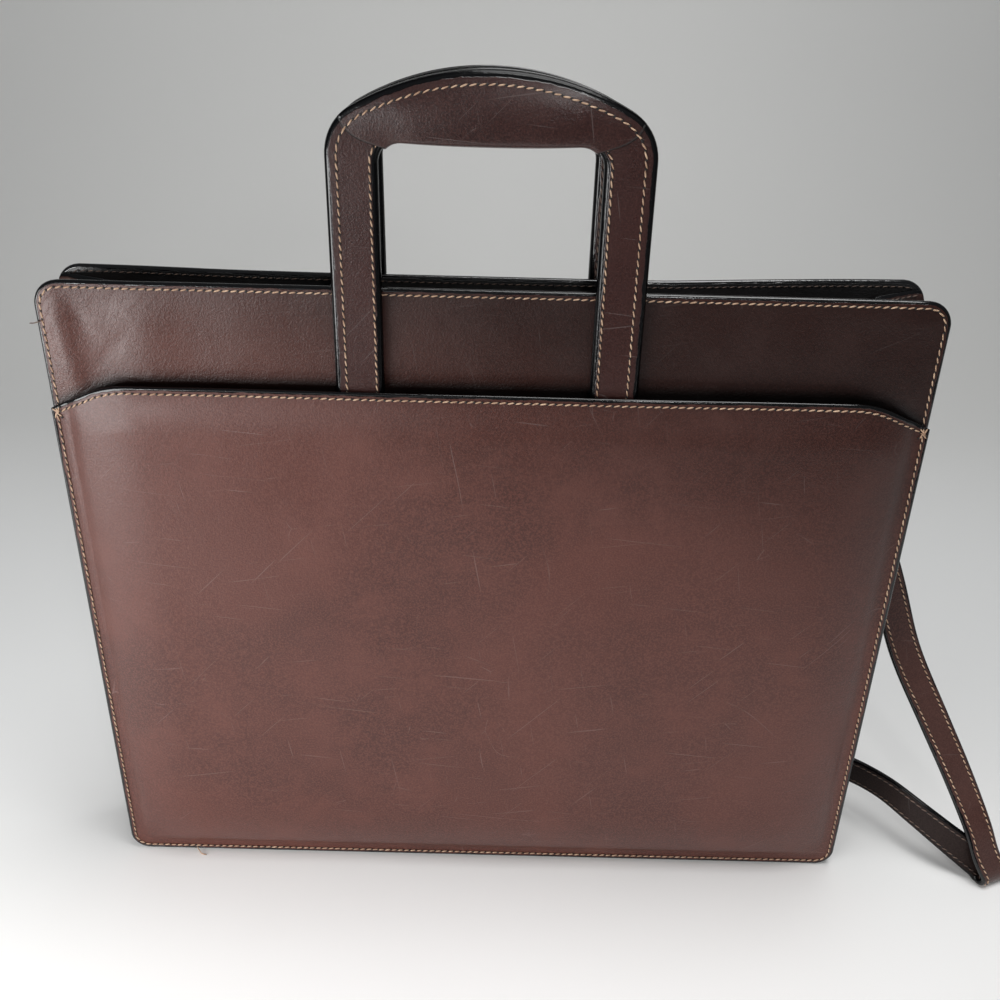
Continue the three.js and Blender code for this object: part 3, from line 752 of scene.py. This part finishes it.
gusset_places = gusset_stations()
gusset_sections = [gusset_section(*place) for place in gusset_places]
gusset_ends = [min(k, len(gusset_places) - 1 - k) * gusset_step for k in range(len(gusset_places))]
gusset = loft(
    "gusset_folded", gusset_sections, gusset_leather, inset=np.repeat(gusset_ends, len(gusset_sections[0]))
)
dress(gusset, "gusset_leather", "gusset")
gusset_seams = [gusset_hem(side, face) for side in (-1, 1) for face in (-1, 1)]
sew("gusset_stitches", gusset_seams, material=dull_thread)


# Pockets. Each is a panel of the same cowhide, wet-moulded so that it stands off
# its wall inside a flat rim, and sewn down along its sides and base. The mouth's
# edge is painted, and back-stitches cross at its two corners.

pocket_thickness = 2.0
pocket_puff = 10.0
mouth_stand_off = 7.2
pocket_bead = 1.0
pocket_rim = 5.0
pocket_shoulder = 42.0
mouth_shoulder = 22.0
pocket_stitch_lift = 0.3
thread_end_radius = 0.3


def pocket_inset(x, z):
    slope = np.abs(pocket_top(x + 0.5) - pocket_top(x - 0.5))
    from_mouth = (pocket_top(x) - z) / np.hypot(1, slope)
    below = rounded_inset(x, z, 0, 2 * wall_height, wall_corner_bottom, wall_corner_top)
    return np.minimum(from_mouth, below)


pocket_outline = {
    "bottom": lambda x: corner_rise(x, wall_corner_bottom),
    "top": pocket_top,
    "inset": pocket_inset,
    "cover": lambda x, z: 0.0,
}


def dome(share):
    """Steep where it leaves the stitched rim, and easing off to level."""
    t = np.clip(share, 0.0, 1.0)
    return (1 - (1 - t) ** 2.3) * smooth(t / 0.16)


def pocket_stand_off(x, z):
    """How far the pocket's inner face stands off its wall, with slight unevenness."""
    from_side = dome((half_width - np.abs(x) - pocket_rim) / pocket_shoulder)
    from_base = dome((z - pocket_rim) / pocket_shoulder)
    from_mouth = smooth((pocket_top(x) - z) / mouth_shoulder)
    uneven = 0.35 * np.sin(x * 0.021 + 1.0) * np.sin(z * 0.026) + 0.2 * np.sin(x * 0.053 + z * 0.037)
    return (lerp(mouth_stand_off, pocket_puff, from_mouth) + uneven - 0.3) * from_side * from_base


def front_pocket_outer(x, z):
    return wall_front - clearance - pocket_stand_off(x, z) - pocket_thickness


def front_pocket_inner(x, z):
    return wall_front - clearance - pocket_stand_off(x, z)


def back_pocket_inner(x, z):
    return back_wall_outer(x, z) + clearance + pocket_stand_off(x, z)


def back_pocket_outer(x, z):
    return back_pocket_inner(x, z) + pocket_thickness


def mouth_seam_path(inset):
    """Along the pocket's mouth from one side seam to the other."""
    path = []
    for x in np.linspace(-half_width + inset, half_width - inset, 160):
        slope = float(pocket_top(x + 0.5) - pocket_top(x - 0.5))
        path.append((x, float(pocket_top(x)) - inset * math.hypot(1, slope)))
    return path


def side_seam_path(inset):
    return seam_round(inset, pocket_corner_height - 1.0, wall_corner_bottom, wall_corner_bottom, inset, -1)


front_pocket = board(
    "front_pocket_leather", pocket_outline, front_pocket_outer, front_pocket_inner, brown_leather, pocket_bead
)
dress(front_pocket, "brown_leather", "front_pocket")
back_pocket = board(
    "back_pocket_leather", pocket_outline, back_pocket_inner, back_pocket_outer, brown_leather, pocket_bead
)
dress(back_pocket, "brown_leather", "back_pocket")
corner_crosses = []
for side in (-1, 1):
    near, far = side * (half_width - 2.2), side * (half_width - 3.6)
    corner_crosses += [[(near, 270.2), (far, 268.4)], [(near, 268.0), (far, 270.4)]]
pocket_seams = [mouth_seam_path(seam_inset), side_seam_path(seam_inset), *corner_crosses]
for end, pocket_face, side in (("front", front_pocket_outer, -1), ("back", back_pocket_outer, 1)):
    rows = [seam_on(pocket_face, side, path, pocket_stitch_lift) for path in pocket_seams]
    sew(f"{end}_pocket_stitches", rows)


def through(points, steps):
    """A smooth curve through points, with knots spaced by the square root of their distance."""
    points = [2 * points[0] - points[1], *points, 2 * points[-1] - points[-2]]
    curve = []
    for a, b, c, d in zip(points, points[1:], points[2:], points[3:]):
        t1 = max(np.linalg.norm(b - a) ** 0.5, 1e-4)
        t2 = t1 + max(np.linalg.norm(c - b) ** 0.5, 1e-4)
        t3 = t2 + max(np.linalg.norm(d - c) ** 0.5, 1e-4)
        for t in np.linspace(t1, t2, steps, endpoint=False):
            ab, bc = lerp(a, b, t / t1), lerp(b, c, (t - t1) / (t2 - t1))
            cd = lerp(c, d, (t - t2) / (t3 - t2))
            abc, bcd = lerp(ab, bc, t / t2), lerp(bc, cd, (t - t1) / (t3 - t1))
            curve.append(lerp(abc, bcd, (t - t1) / (t2 - t1)))
    curve.append(points[-2])
    return np.array(curve)


def thread_end(name, points, material):
    """A frayed end of sewing thread that was left hanging from a seam."""
    line = through([np.array(point, dtype=float) for point in points], 5)
    along = np.gradient(line, axis=0)
    sections = []
    for place, forward in zip(line, along):
        side = np.cross(forward, (0.0, 0.3, 1.0))
        side /= np.linalg.norm(side)
        up = np.cross(side, forward / np.linalg.norm(forward))
        turns = np.radians(np.arange(0, 360, 60))
        ring = [place + thread_end_radius * (side * math.cos(turn) + up * math.sin(turn)) for turn in turns]
        sections.append(ring)
    return dress(loft(name, sections, material), "stitch_thread")


base_end = [(-163, -4.6, 2.0), (-161.5, -6.2, 1.2), (-159.5, -8.0, 0.5), (-157.0, -8.6, 0.4)]
side_end = [(-197.8, -2.6, 311.8), (-200.4, -2.9, 311.0), (-202.4, -3.0, 310.9)]
thread_end("base_thread_end", base_end, cream_thread)
thread_end("side_thread_end", side_end, dull_thread)


# Handles. Each has a stiff frame of layered leather, two legs and an arch, that
# goes down into its pocket and is sewn to the wall. A thinner leather is folded
# round the arch from below over padding, and sewn along the arch's top edge.

handle_width = 134.8
handle_leg_width = 21.7
handle_thickness = 6.0
handle_rise = 89.0
handle_reach = 105.0
handle_arch_radius = 115.0
handle_shoulder_radius = 22.0
handle_band_depth = 27.6
handle_inner_radius = 9.0
handle_centre_x = -1.7
back_handle_shift = -1.3
back_handle_drop = 1.2
handle_bead = 2.2
handle_paint = 2.3
grip_thickness = 15.0
grip_skin = 1.5
grip_seam_bow = 3.2
handle_seam_inset = {"outer": 5.2, "inner": 3.2}
leg_stations = 50
shoulder_stations = 10
arch_stations = 30
narrow_steps = [step for step in edge_steps if step < 5.5]
cheek_up = (0.0, 0.15, 0.38, 0.62, 0.84, 1.0)
cheek_swell = (0.55, 0.86, 1.0, 0.86, 0.42, 0.0)

handle_leather = leather(
    "handle_leather", (0.024, 0.008, 0.007), (0.040, 0.014, 0.012), (0.060, 0.023, 0.019),
    gloss=0.29, paint_width=handle_paint, scratched=0.6, shine=0.4,
)

handle_edge_paint = leather(
    "handle_edge_paint", (0.0015, 0.0015, 0.0015), (0.002, 0.002, 0.002), (0.003, 0.003, 0.003),
    gloss=0.25, scratched=0.0, shine=0.12,
)

leg_outer = handle_width / 2
leg_inner = leg_outer - handle_leg_width
underside = handle_rise - handle_band_depth
shoulder_x = leg_outer - handle_shoulder_radius
arch_centre = handle_rise - handle_arch_radius
shoulder_h = arch_centre + math.sqrt((handle_arch_radius - handle_shoulder_radius) ** 2 - shoulder_x**2)
arch_end = math.degrees(math.atan2(shoulder_h - arch_centre, shoulder_x))
inner_x = leg_inner - handle_inner_radius
inner_h = underside - handle_inner_radius


def evenly(path, count):
    """Points at even distances along a path."""
    path = np.asarray(path, dtype=float)
    run = np.concatenate([[0], np.cumsum(np.linalg.norm(np.diff(path, axis=0), axis=1))])
    places = np.linspace(0, run[-1], count)
    return np.stack([np.interp(places, run, path[:, k]) for k in range(path.shape[1])], axis=1)


def handle_edges():
    """Outer and inner edge of the frame, in pairs from the left leg's end to the right one's."""
    leg = np.linspace(-handle_reach, inner_h, leg_stations)
    outer = [np.array([(-leg_outer, h) for h in leg])]
    inner = [np.array([(-leg_inner, h) for h in leg])]
    shoulder = [(-leg_outer, inner_h)] + arc(-shoulder_x, shoulder_h, handle_shoulder_radius, 180, 135, 10)
    outer.append(evenly(shoulder, shoulder_stations)[1:])
    bend = arc(-inner_x, inner_h, handle_inner_radius, 180, 135, 10)
    inner.append(evenly(bend, shoulder_stations)[1:])
    top = arc(-shoulder_x, shoulder_h, handle_shoulder_radius, 135, 180 - arch_end, 10)
    top += arc(0, arch_centre, handle_arch_radius, 180 - arch_end, 90, 24)[1:]
    below = arc(-inner_x, inner_h, handle_inner_radius, 135, 90, 8) + [(0, underside)]
    outer.append(evenly(top, arch_stations)[1:])
    inner.append(evenly(below, arch_stations)[1:])
    outer, inner = np.concatenate(outer), np.concatenate(inner)
    mirror = np.array([-1, 1])
    outer = np.concatenate([outer, outer[-2::-1] * mirror])
    inner = np.concatenate([inner, inner[-2::-1] * mirror])
    return outer, inner


frame_outer, frame_inner = handle_edges()
seam_station = leg_stations + shoulder_stations - 2
last_station = len(frame_outer) - 1


def edge_points(station):
    """Outer and inner edge at a station, which may lie between two of them."""
    index = np.arange(len(frame_outer))
    edges = (frame_outer, frame_inner)
    return [np.array([np.interp(station, index, edge[:, k]) for k in (0, 1)]) for edge in edges]


def grip_edges(share):
    return edge_points(lerp(seam_station, last_station - seam_station, share))


def handle_place(seat, lean, shift, drop):
    """Takes a point of the handle's own plane to its place on the case."""
    def place(x, y, h):
        return np.array([
            handle_centre_x + shift + x,
            seat + drop * math.tan(lean) + y * math.cos(lean) - h * math.sin(lean),
            wall_height - drop + y * math.sin(lean) + h * math.cos(lean),
        ])
    return place


def painted_strips(insets):
    """The strips of a section that lie wholly on its painted edge."""
    after = list(insets[1:]) + [insets[0]]
    return [k for k, pair in enumerate(zip(insets, after)) if max(pair) < handle_paint - 0.5]


def frame_body(name, place):
    sections, insets = [], []
    for outer, inner in zip(frame_outer, frame_inner):
        width = float(np.linalg.norm(inner - outer))
        middle = [width * 0.42, width * 0.5, width * 0.58]
        across = np.array(narrow_steps + middle + [width - step for step in reversed(narrow_steps)])
        depth = np.minimum(across, width - across)
        half = handle_thickness / 2 * edge_share(depth, handle_bead)
        spots = [outer + (inner - outer) * a / width for a in across]
        front, back = (
            [place(spot[0], side * h, spot[1]) for spot, h in zip(spots, half)] for side in (-1, 1)
        )
        sections.append(front + back[-2:0:-1])
        insets.append(list(depth) + list(depth[-2:0:-1]))
    return loft(
        name, sections, handle_leather, handle_edge_paint, painted_strips(insets[0]),
        inset=np.array(insets).ravel(),
    )


def grip_fullness(share):
    return max(1 - abs(2 * share - 1) ** 2.4, 0.0) ** 1.1


def grip_spot(share, up):
    """A place on the arch between the two seams. The seams bow out towards the legs."""
    first, last = seam_station, last_station - seam_station
    bow = grip_seam_bow * 4 * up * (1 - up) if 0 < up < 1 else 0.0
    shift = bow * (float(smooth((share - 0.85) / 0.15)) - float(smooth((0.15 - share) / 0.15)))
    outer, inner = edge_points(lerp(first, last, share) + shift / 1.6)
    return inner + (outer - inner) * up


def grip_half(share, up):
    """Half thickness of the padded grip, over the frame inside it."""
    seat = handle_thickness / 2 + clearance
    skin = lerp(0.5, grip_skin, float(smooth(min(share, 1 - share) / 0.2)))
    room = grip_thickness / 2 - seat - grip_skin
    swell = sum(np.interp(up + d, cheek_up, cheek_swell) for d in (-0.06, -0.03, 0, 0.03, 0.06)) / 5
    top_round = float(smooth((1.0 - up) / 0.05)) * 0.8 + 0.2
    return seat + skin * top_round + room * swell * grip_fullness(share)


def grip_body(name, place):
    slot = handle_thickness / 2 + clearance
    ups = np.concatenate([[0.995, 0.985, 0.96, 0.93], np.linspace(0.89, 0.02, 17)])
    sections, insets, covers = [], [], []
    for share in np.linspace(0, 1, 81):
        cheek = [(grip_spot(share, up), grip_half(share, up), up) for up in ups]
        low_spot, low_half, _ = cheek[-1]
        outer, inner = grip_edges(share)
        height = float(np.linalg.norm(outer - inner))
        below = (inner - outer) / height
        drop = clearance + grip_skin * (0.5 + 0.5 * grip_fullness(share))
        turn = np.radians([22, 45, 68, 90])
        depth = drop + height * 0.02
        belly = [(low_spot + below * depth * math.sin(a), low_half * math.cos(a)) for a in turn]
        front = [place(spot[0], -half, spot[1]) for spot, half, _ in cheek]
        front += [place(spot[0], -half, spot[1]) for spot, half in belly[:-1]]
        nose = [place(belly[-1][0][0], 0, belly[-1][0][1])]
        back = [place(spot[0], half, spot[1]) for spot, half in reversed(belly[:-1])]
        back += [place(spot[0], half, spot[1]) for spot, half, _ in reversed(cheek)]
        top_spot = cheek[0][0]
        under = inner + below * clearance * 0.6
        hollow = [place(top_spot[0], slot, top_spot[1]), place(under[0], slot, under[1])]
        hollow += [place(under[0], -slot, under[1]), place(top_spot[0], -slot, top_spot[1])]
        sections.append(front + nose + back + hollow)
        rows = [height * (1 - up) for up in ups] + [height] * 3
        insets.append(rows + [height] + rows[::-1] + [0, height, height, 0])
        # The sleeve's end rows are painted dark, a thin line along each seam.
        covers.append([float(share in (0, 1))] * len(insets[-1]))
    return loft(
        name, sections, handle_leather, handle_edge_paint, painted_strips(insets[len(insets) // 2]),
        inset=np.array(insets).ravel(), cover=np.array(covers).ravel(),
    )


def frame_seam(place, side, edge, first, last):
    """A row of stitches on one face of the frame, near its outer or inner edge."""
    seam = []
    direction = place(0, side, 0) - place(0, 0, 0)
    for station in np.arange(first, last + 0.1, 1.0):
        outer, inner = edge_points(station)
        width = np.linalg.norm(inner - outer)
        start, end = (outer, inner) if edge == "outer" else (inner, outer)
        spot = start + (end - start) * handle_seam_inset[edge] / width
        seam.append((place(spot[0], side * (handle_thickness / 2 + stitch_lift), spot[1]), direction))
    return seam


def grip_seam(place, side):
    """The row that closes the sleeve along the arch's top edge."""
    seam = []
    for share in np.linspace(0.0, 1.0, 90):
        outer, inner = grip_edges(share)
        up = 1 - handle_seam_inset["outer"] / float(np.linalg.norm(outer - inner))
        spot = grip_spot(share, up)
        half = grip_half(share, up) + 0.1
        lower = grip_half(share, up - 0.08)
        lean = (lower - half) / (0.08 * float(np.linalg.norm(outer - inner)))
        direction = place(0, side, max(lean, 0) * 0.8) - place(0, 0, 0)
        seam.append((place(spot[0], side * half, spot[1]), unit(direction)))
    return seam


def make_handle(end, seat, lean=0.0, shift=0.0, drop=0.0):
    place = handle_place(seat, lean, shift, drop)
    dress(frame_body(f"{end}_handle_layers", place), "handle_leather", f"{end}_handle_frame")
    grip = dress(grip_body(f"{end}_handle_padding", place), "handle_leather", f"{end}_handle_grip")
    outside = -1 if end == "front" else 1
    for side, kind, material in ((outside, "outer", cream_thread), (-outside, "inner", dull_thread)):
        seams = [grip_seam(place, side)]
        for edge in ("outer", "inner"):
            seams.append(frame_seam(place, side, edge, 0, seam_station))
            seams.append(frame_seam(place, side, edge, last_station - seam_station, last_station))
        sew(f"{end}_handle_{kind}_stitches", seams, material=material)


front_seat = wall_front - clearance - handle_thickness / 2
make_handle("front", front_seat)
handle_gap = float(gap_between(handle_centre_x, wall_height))
back_lean = math.atan2(gap_at_base - handle_gap, wall_height)
back_seat = float(back_wall_outer(handle_centre_x, wall_height))
back_seat += (clearance + handle_thickness / 2) / math.cos(back_lean)
make_handle("back", back_seat, back_lean, back_handle_shift, back_handle_drop)


# Shoulder strap. Two flat leathers are sewn back to back with a row of stitches
# along each edge, and the edges are painted. Its ends are sewn to the outside of
# the back wall. It lies slack, with a sharp fold on the floor beside the case.

strap_width = 18.0
strap_thickness = 3.0
strap_sewn_height = 314.0
strap_sewn_length = 17.0
strap_sewn_across = 0.93
strap_fold_radius = 3.4
strap_bead = 1.3
strap_rest_plane = float(back_wall_outer(0, 0)) + clearance + pocket_puff + pocket_thickness
strap_rest_plane += 2 * clearance + strap_thickness / 2

# Across is a share of the half width, up of the sewn height, and back of the way
# from the front wall to where the strap rests against the back pocket.
strap_down_run = (
    (0.933, 0.925, 0.82, (1, 0, 0)),
    (0.938, 0.903, 0.92, (1, 0, 0)),
    (0.950, 0.860, 0.99, (1, 0, 0)),
    (0.960, 0.740, 1.02, (1, 0, 0.1)),
    (1.012, 0.630, 0.97, (1, 0.04, 0.15)),
    (1.088, 0.505, 0.84, (1, 0.12, 0.2)),
    (1.152, 0.393, 0.68, (1, 0.22, 0.22)),
    (1.252, 0.271, 0.44, (0.95, 0.3, 0.22)),
    (1.317, 0.193, 0.25, (0.93, 0.34, 0.18)),
    (1.364, 0.132, 0.08, (0.92, 0.37, 0.12)),
    (1.390, 0.093, -0.08, (0.92, 0.38, 0.06)),
    (1.412, 0.053, -0.21, (0.92, 0.38, 0.03)),
)
strap_back_run = (
    (1.402, 0.031, -0.170, (0.78, 0.3, 0.4)),
    (1.360, 0.051, -0.135, (0.66, 0.05, 0.7)),
    (1.311, 0.069, -0.058, (0.55, -0.19, 0.81)),
    (1.266, 0.083, 0.092, (0.44, -0.22, 0.86)),
    (1.222, 0.094, 0.240, (0.32, -0.24, 0.9)),
    (1.184, 0.099, 0.470, (0.2, -0.24, 0.95)),
    (1.145, 0.099, 0.650, (0.1, -0.18, 0.97)),
    (1.098, 0.098, 0.840, (0.04, -0.08, 0.99)),
    (1.030, 0.100, 0.980, (0.02, 0, 1)),
    (0.900, 0.110, 1.015, (0.1, 0, 1)),
    (0.600, 0.160, 1.020, (0.25, 0, 1)),
    (0.250, 0.262, 1.020, (0.4, 0, 1)),
    (-0.100, 0.402, 1.020, (0.6, 0, 1)),
    (-0.420, 0.565, 1.010, (0.8, 0, 1)),
    (-0.680, 0.725, 0.960, (1, 0, 0.9)),
    (-0.840, 0.835, 0.920, (1, 0, 0.55)),
    (-0.898, 0.895, 0.825, (1, 0, 0.25)),
    (-0.920, 0.928, 0.715, (1, 0, 0.08)),
)
strap_fold_centre = (1.4335, -0.2375)
strap_fold_angles = np.linspace(153, 325, 7)
strap_fold_crease = np.array([0.923, 0.384, 0.0])
strap_substeps = 9
strap_easing = 60

strap_leather = leather(
    "strap_leather", (0.038, 0.014, 0.011), (0.056, 0.021, 0.016), (0.092, 0.038, 0.030),
    gloss=0.4, paint_width=1.2, scratched=0.7, shine=0.45,
)
strap_reverse = leather(
    "strap_reverse", (0.010, 0.006, 0.005), (0.016, 0.009, 0.008), (0.030, 0.018, 0.015),
    gloss=0.55, paint_width=1.2, scratched=0.4, shine=0.15,
)


def strap_row(row):
    across, up, back, edge = row
    return np.array([across * half_width, back * strap_rest_plane, up * strap_sewn_height]), unit(edge)


def strap_sewn_end(side):
    x = side * strap_sewn_across * half_width
    rows = []
    for share in (0, 0.5, 1):
        z = strap_sewn_height - strap_sewn_length * share
        rise = float(back_wall_outer(x + strap_width / 2, z) - back_wall_outer(x - strap_width / 2, z))
        seat = float(back_wall_outer(x, z)) + 2 * clearance + strap_thickness / 2
        rows.append((np.array([x, seat, z]), unit((strap_width, rise, 0))))
    return rows


def strap_fold():
    backward = np.array([-strap_fold_crease[1], strap_fold_crease[0], 0])
    across, back = strap_fold_centre
    centre = np.array([across * half_width, back * strap_rest_plane, strap_fold_radius + strap_thickness / 2])
    rows = []
    for turn in np.radians(strap_fold_angles):
        place = centre + backward * strap_fold_radius * math.cos(turn)
        rows.append((place + np.array([0, 0, strap_fold_radius * math.sin(turn)]), strap_fold_crease))
    return rows


strap_rows = strap_sewn_end(1) + [strap_row(row) for row in strap_down_run] + strap_fold()
strap_rows += [strap_row(row) for row in strap_back_run] + strap_sewn_end(-1)[::-1]
strap_line = through([place for place, _ in strap_rows], strap_substeps)
strap_edges = through([edge for _, edge in strap_rows], strap_substeps)

# The strap springs in even curves between its chosen places, except at the tight fold.
strap_held = len(strap_sewn_end(1)) + len(strap_down_run) + len(strap_fold())
strap_eased = range(strap_held * strap_substeps, len(strap_line) - 3 * strap_substeps)
for _ in range(strap_easing):
    for path in (strap_line, strap_edges):
        path[strap_eased] = (path[strap_eased.start - 1:strap_eased.stop - 1] + 2 * path[strap_eased]
                             + path[strap_eased.start + 1:strap_eased.stop + 1]) / 4
strap_along = unit_rows(np.gradient(strap_line, axis=0))
strap_across = unit_rows(strap_edges - strap_along * np.sum(strap_edges * strap_along, axis=1)[:, None])
strap_up = np.cross(strap_along, strap_across)


def strap_body():
    far_steps = [strap_width - step for step in reversed(narrow_steps)]
    spots = np.array(narrow_steps + [strap_width / 2] + far_steps)
    depth = np.minimum(spots, strap_width - spots)
    half = strap_thickness / 2 * edge_share(depth, strap_bead)
    sections = []
    for place, across, up in zip(strap_line, strap_across, strap_up):
        front, back = (
            [place + across * (spot - strap_width / 2) + up * side * h for spot, h in zip(spots, half)]
            for side in (1, -1)
        )
        sections.append(front + back[-2:0:-1])
    insets = np.tile(list(depth) + list(depth[-2:0:-1]), len(sections))
    underside_strips = range(len(spots) - 1, 2 * len(spots) - 2)
    return loft(
        "shoulder_strap_leather", sections, strap_leather, strap_reverse, underside_strips, inset=insets
    )


dress(strap_body(), "strap_leather", "shoulder_strap")
for strap_face, kind, strap_thread in ((1, "outer", cream_thread), (-1, "inner", dull_thread)):
    strap_seams = []
    for strap_offset in (seam_inset - strap_width / 2, strap_width / 2 - seam_inset):
        strap_seams.append([
            (place + across * strap_offset + up * strap_face * (strap_thickness / 2 + 0.1), up * strap_face)
            for place, across, up in zip(strap_line, strap_across, strap_up)
        ])
    sew(f"shoulder_strap_{kind}_stitches", strap_seams, material=strap_thread)


# Floor, light and camera. A pale surface that curves up into a backdrop, with painted
# shade that darkens it further back, soft light from the left and above, and a camera
# that looks down on the case.

camera_place = Vector((5.4, -442.1, 457.1)) * METRES
camera_pitch = math.radians(27.399)
camera_yaw = math.radians(-0.021)
camera_roll = math.radians(1.41)
camera_lens = 37.62

ahead = Vector((
    math.sin(camera_yaw) * math.cos(camera_pitch),
    math.cos(camera_yaw) * math.cos(camera_pitch),
    -math.sin(camera_pitch),
))
level = Vector((math.cos(camera_yaw), -math.sin(camera_yaw), 0))
upward = level.cross(ahead)
camera_right = math.cos(camera_roll) * level + math.sin(camera_roll) * upward
camera_up = -math.sin(camera_roll) * level + math.cos(camera_roll) * upward
camera_data = bpy.data.cameras.new("camera")
camera_data.lens = camera_lens
camera_data.sensor_width = 36
camera = add_object("camera", camera_data)
camera.matrix_world = Matrix((
    (camera_right.x, camera_up.x, -ahead.x, camera_place.x),
    (camera_right.y, camera_up.y, -ahead.y, camera_place.y),
    (camera_right.z, camera_up.z, -ahead.z, camera_place.z),
    (0, 0, 0, 1),
))
bpy.context.scene.camera = camera


def pale_surface():
    material, tree, shader, where = new_material("pale_surface")
    cloudy = ramp(tree, noise(tree, where, 3.0), 0.3, 0.7)
    tone = blend(tree, cloudy, (0.91, 0.905, 0.89, 1), (0.94, 0.935, 0.925, 1))
    # Painted shade: the surface goes darker further back and up the backdrop, where the light falls off.
    back = add_node(tree, "ShaderNodeSeparateXYZ", {0: where}).outputs["Y"]
    tone = blend(tree, ramp(tree, back, -0.08, 0.18), tone, (0.76, 0.765, 0.76, 1))
    tone = blend(tree, ramp(tree, back, 0.3, 0.8), tone, (0.68, 0.68, 0.665, 1))
    tree.links.new(tone, shader.inputs["Base Color"])
    shader.inputs["Roughness"].default_value = 0.6
    return material


def sweep(front, back, width, height, bend):
    """A floor that runs back and curves up into a backdrop."""
    profile = [(front, 0.0), (back - bend, 0.0)]
    for turn in np.radians(np.linspace(6, 90, 15)):
        profile.append((back - bend + bend * math.sin(turn), bend - bend * math.cos(turn)))
    profile.append((back, height))
    points = [(x, y, z) for y, z in profile for x in (-width, width)]
    faces = grid_faces(len(profile), 2)
    mesh = bpy.data.meshes.new("floor")
    mesh.from_pydata([tuple(np.array(p) * METRES) for p in points], [], faces)
    mesh.polygons.foreach_set("use_smooth", [True] * len(mesh.polygons))
    mesh.materials.append(pale_surface())
    return add_object("floor", mesh)


sweep(-460, 1100, 1500, 1800, 500)


def softbox(name, place, target, width, height, power):
    data = bpy.data.lights.new(name, "AREA")
    data.shape = "RECTANGLE"
    data.size, data.size_y = width, height
    data.energy = power
    lamp = add_object(name, data)
    lamp.location = place
    lamp.rotation_euler = (Vector(target) - Vector(place)).to_track_quat("-Z", "Y").to_euler()


softbox("window", (-0.66, -0.5, 0.17), (-0.16, -0.05, 0.08), 0.5, 0.3, 4.1)
softbox("upper_window", (-0.42, -0.72, 0.30), (-0.16, 0, 0.28), 0.12, 0.09, 0.75)
softbox("overhead", (0.25, -0.06, 1.45), (0.04, -0.1, 0), 0.8, 0.7, 14)
softbox("floor_light", (-0.26, -0.40, 0.28), (-0.22, -0.32, 0), 0.5, 0.24, 0.6)
softbox("handle_lamp", (0.20, -0.78, 0.64), (0.04, 0, 0.40), 0.08, 0.08, 0.9)
world = bpy.data.worlds.new("world")
world.use_nodes = True
world.node_tree.nodes["Background"].inputs["Color"].default_value = (0.9, 0.93, 0.97, 1)
world.node_tree.nodes["Background"].inputs["Strength"].default_value = 0.14
bpy.context.scene.world = world
bpy.context.scene.view_settings.view_transform = "Standard"
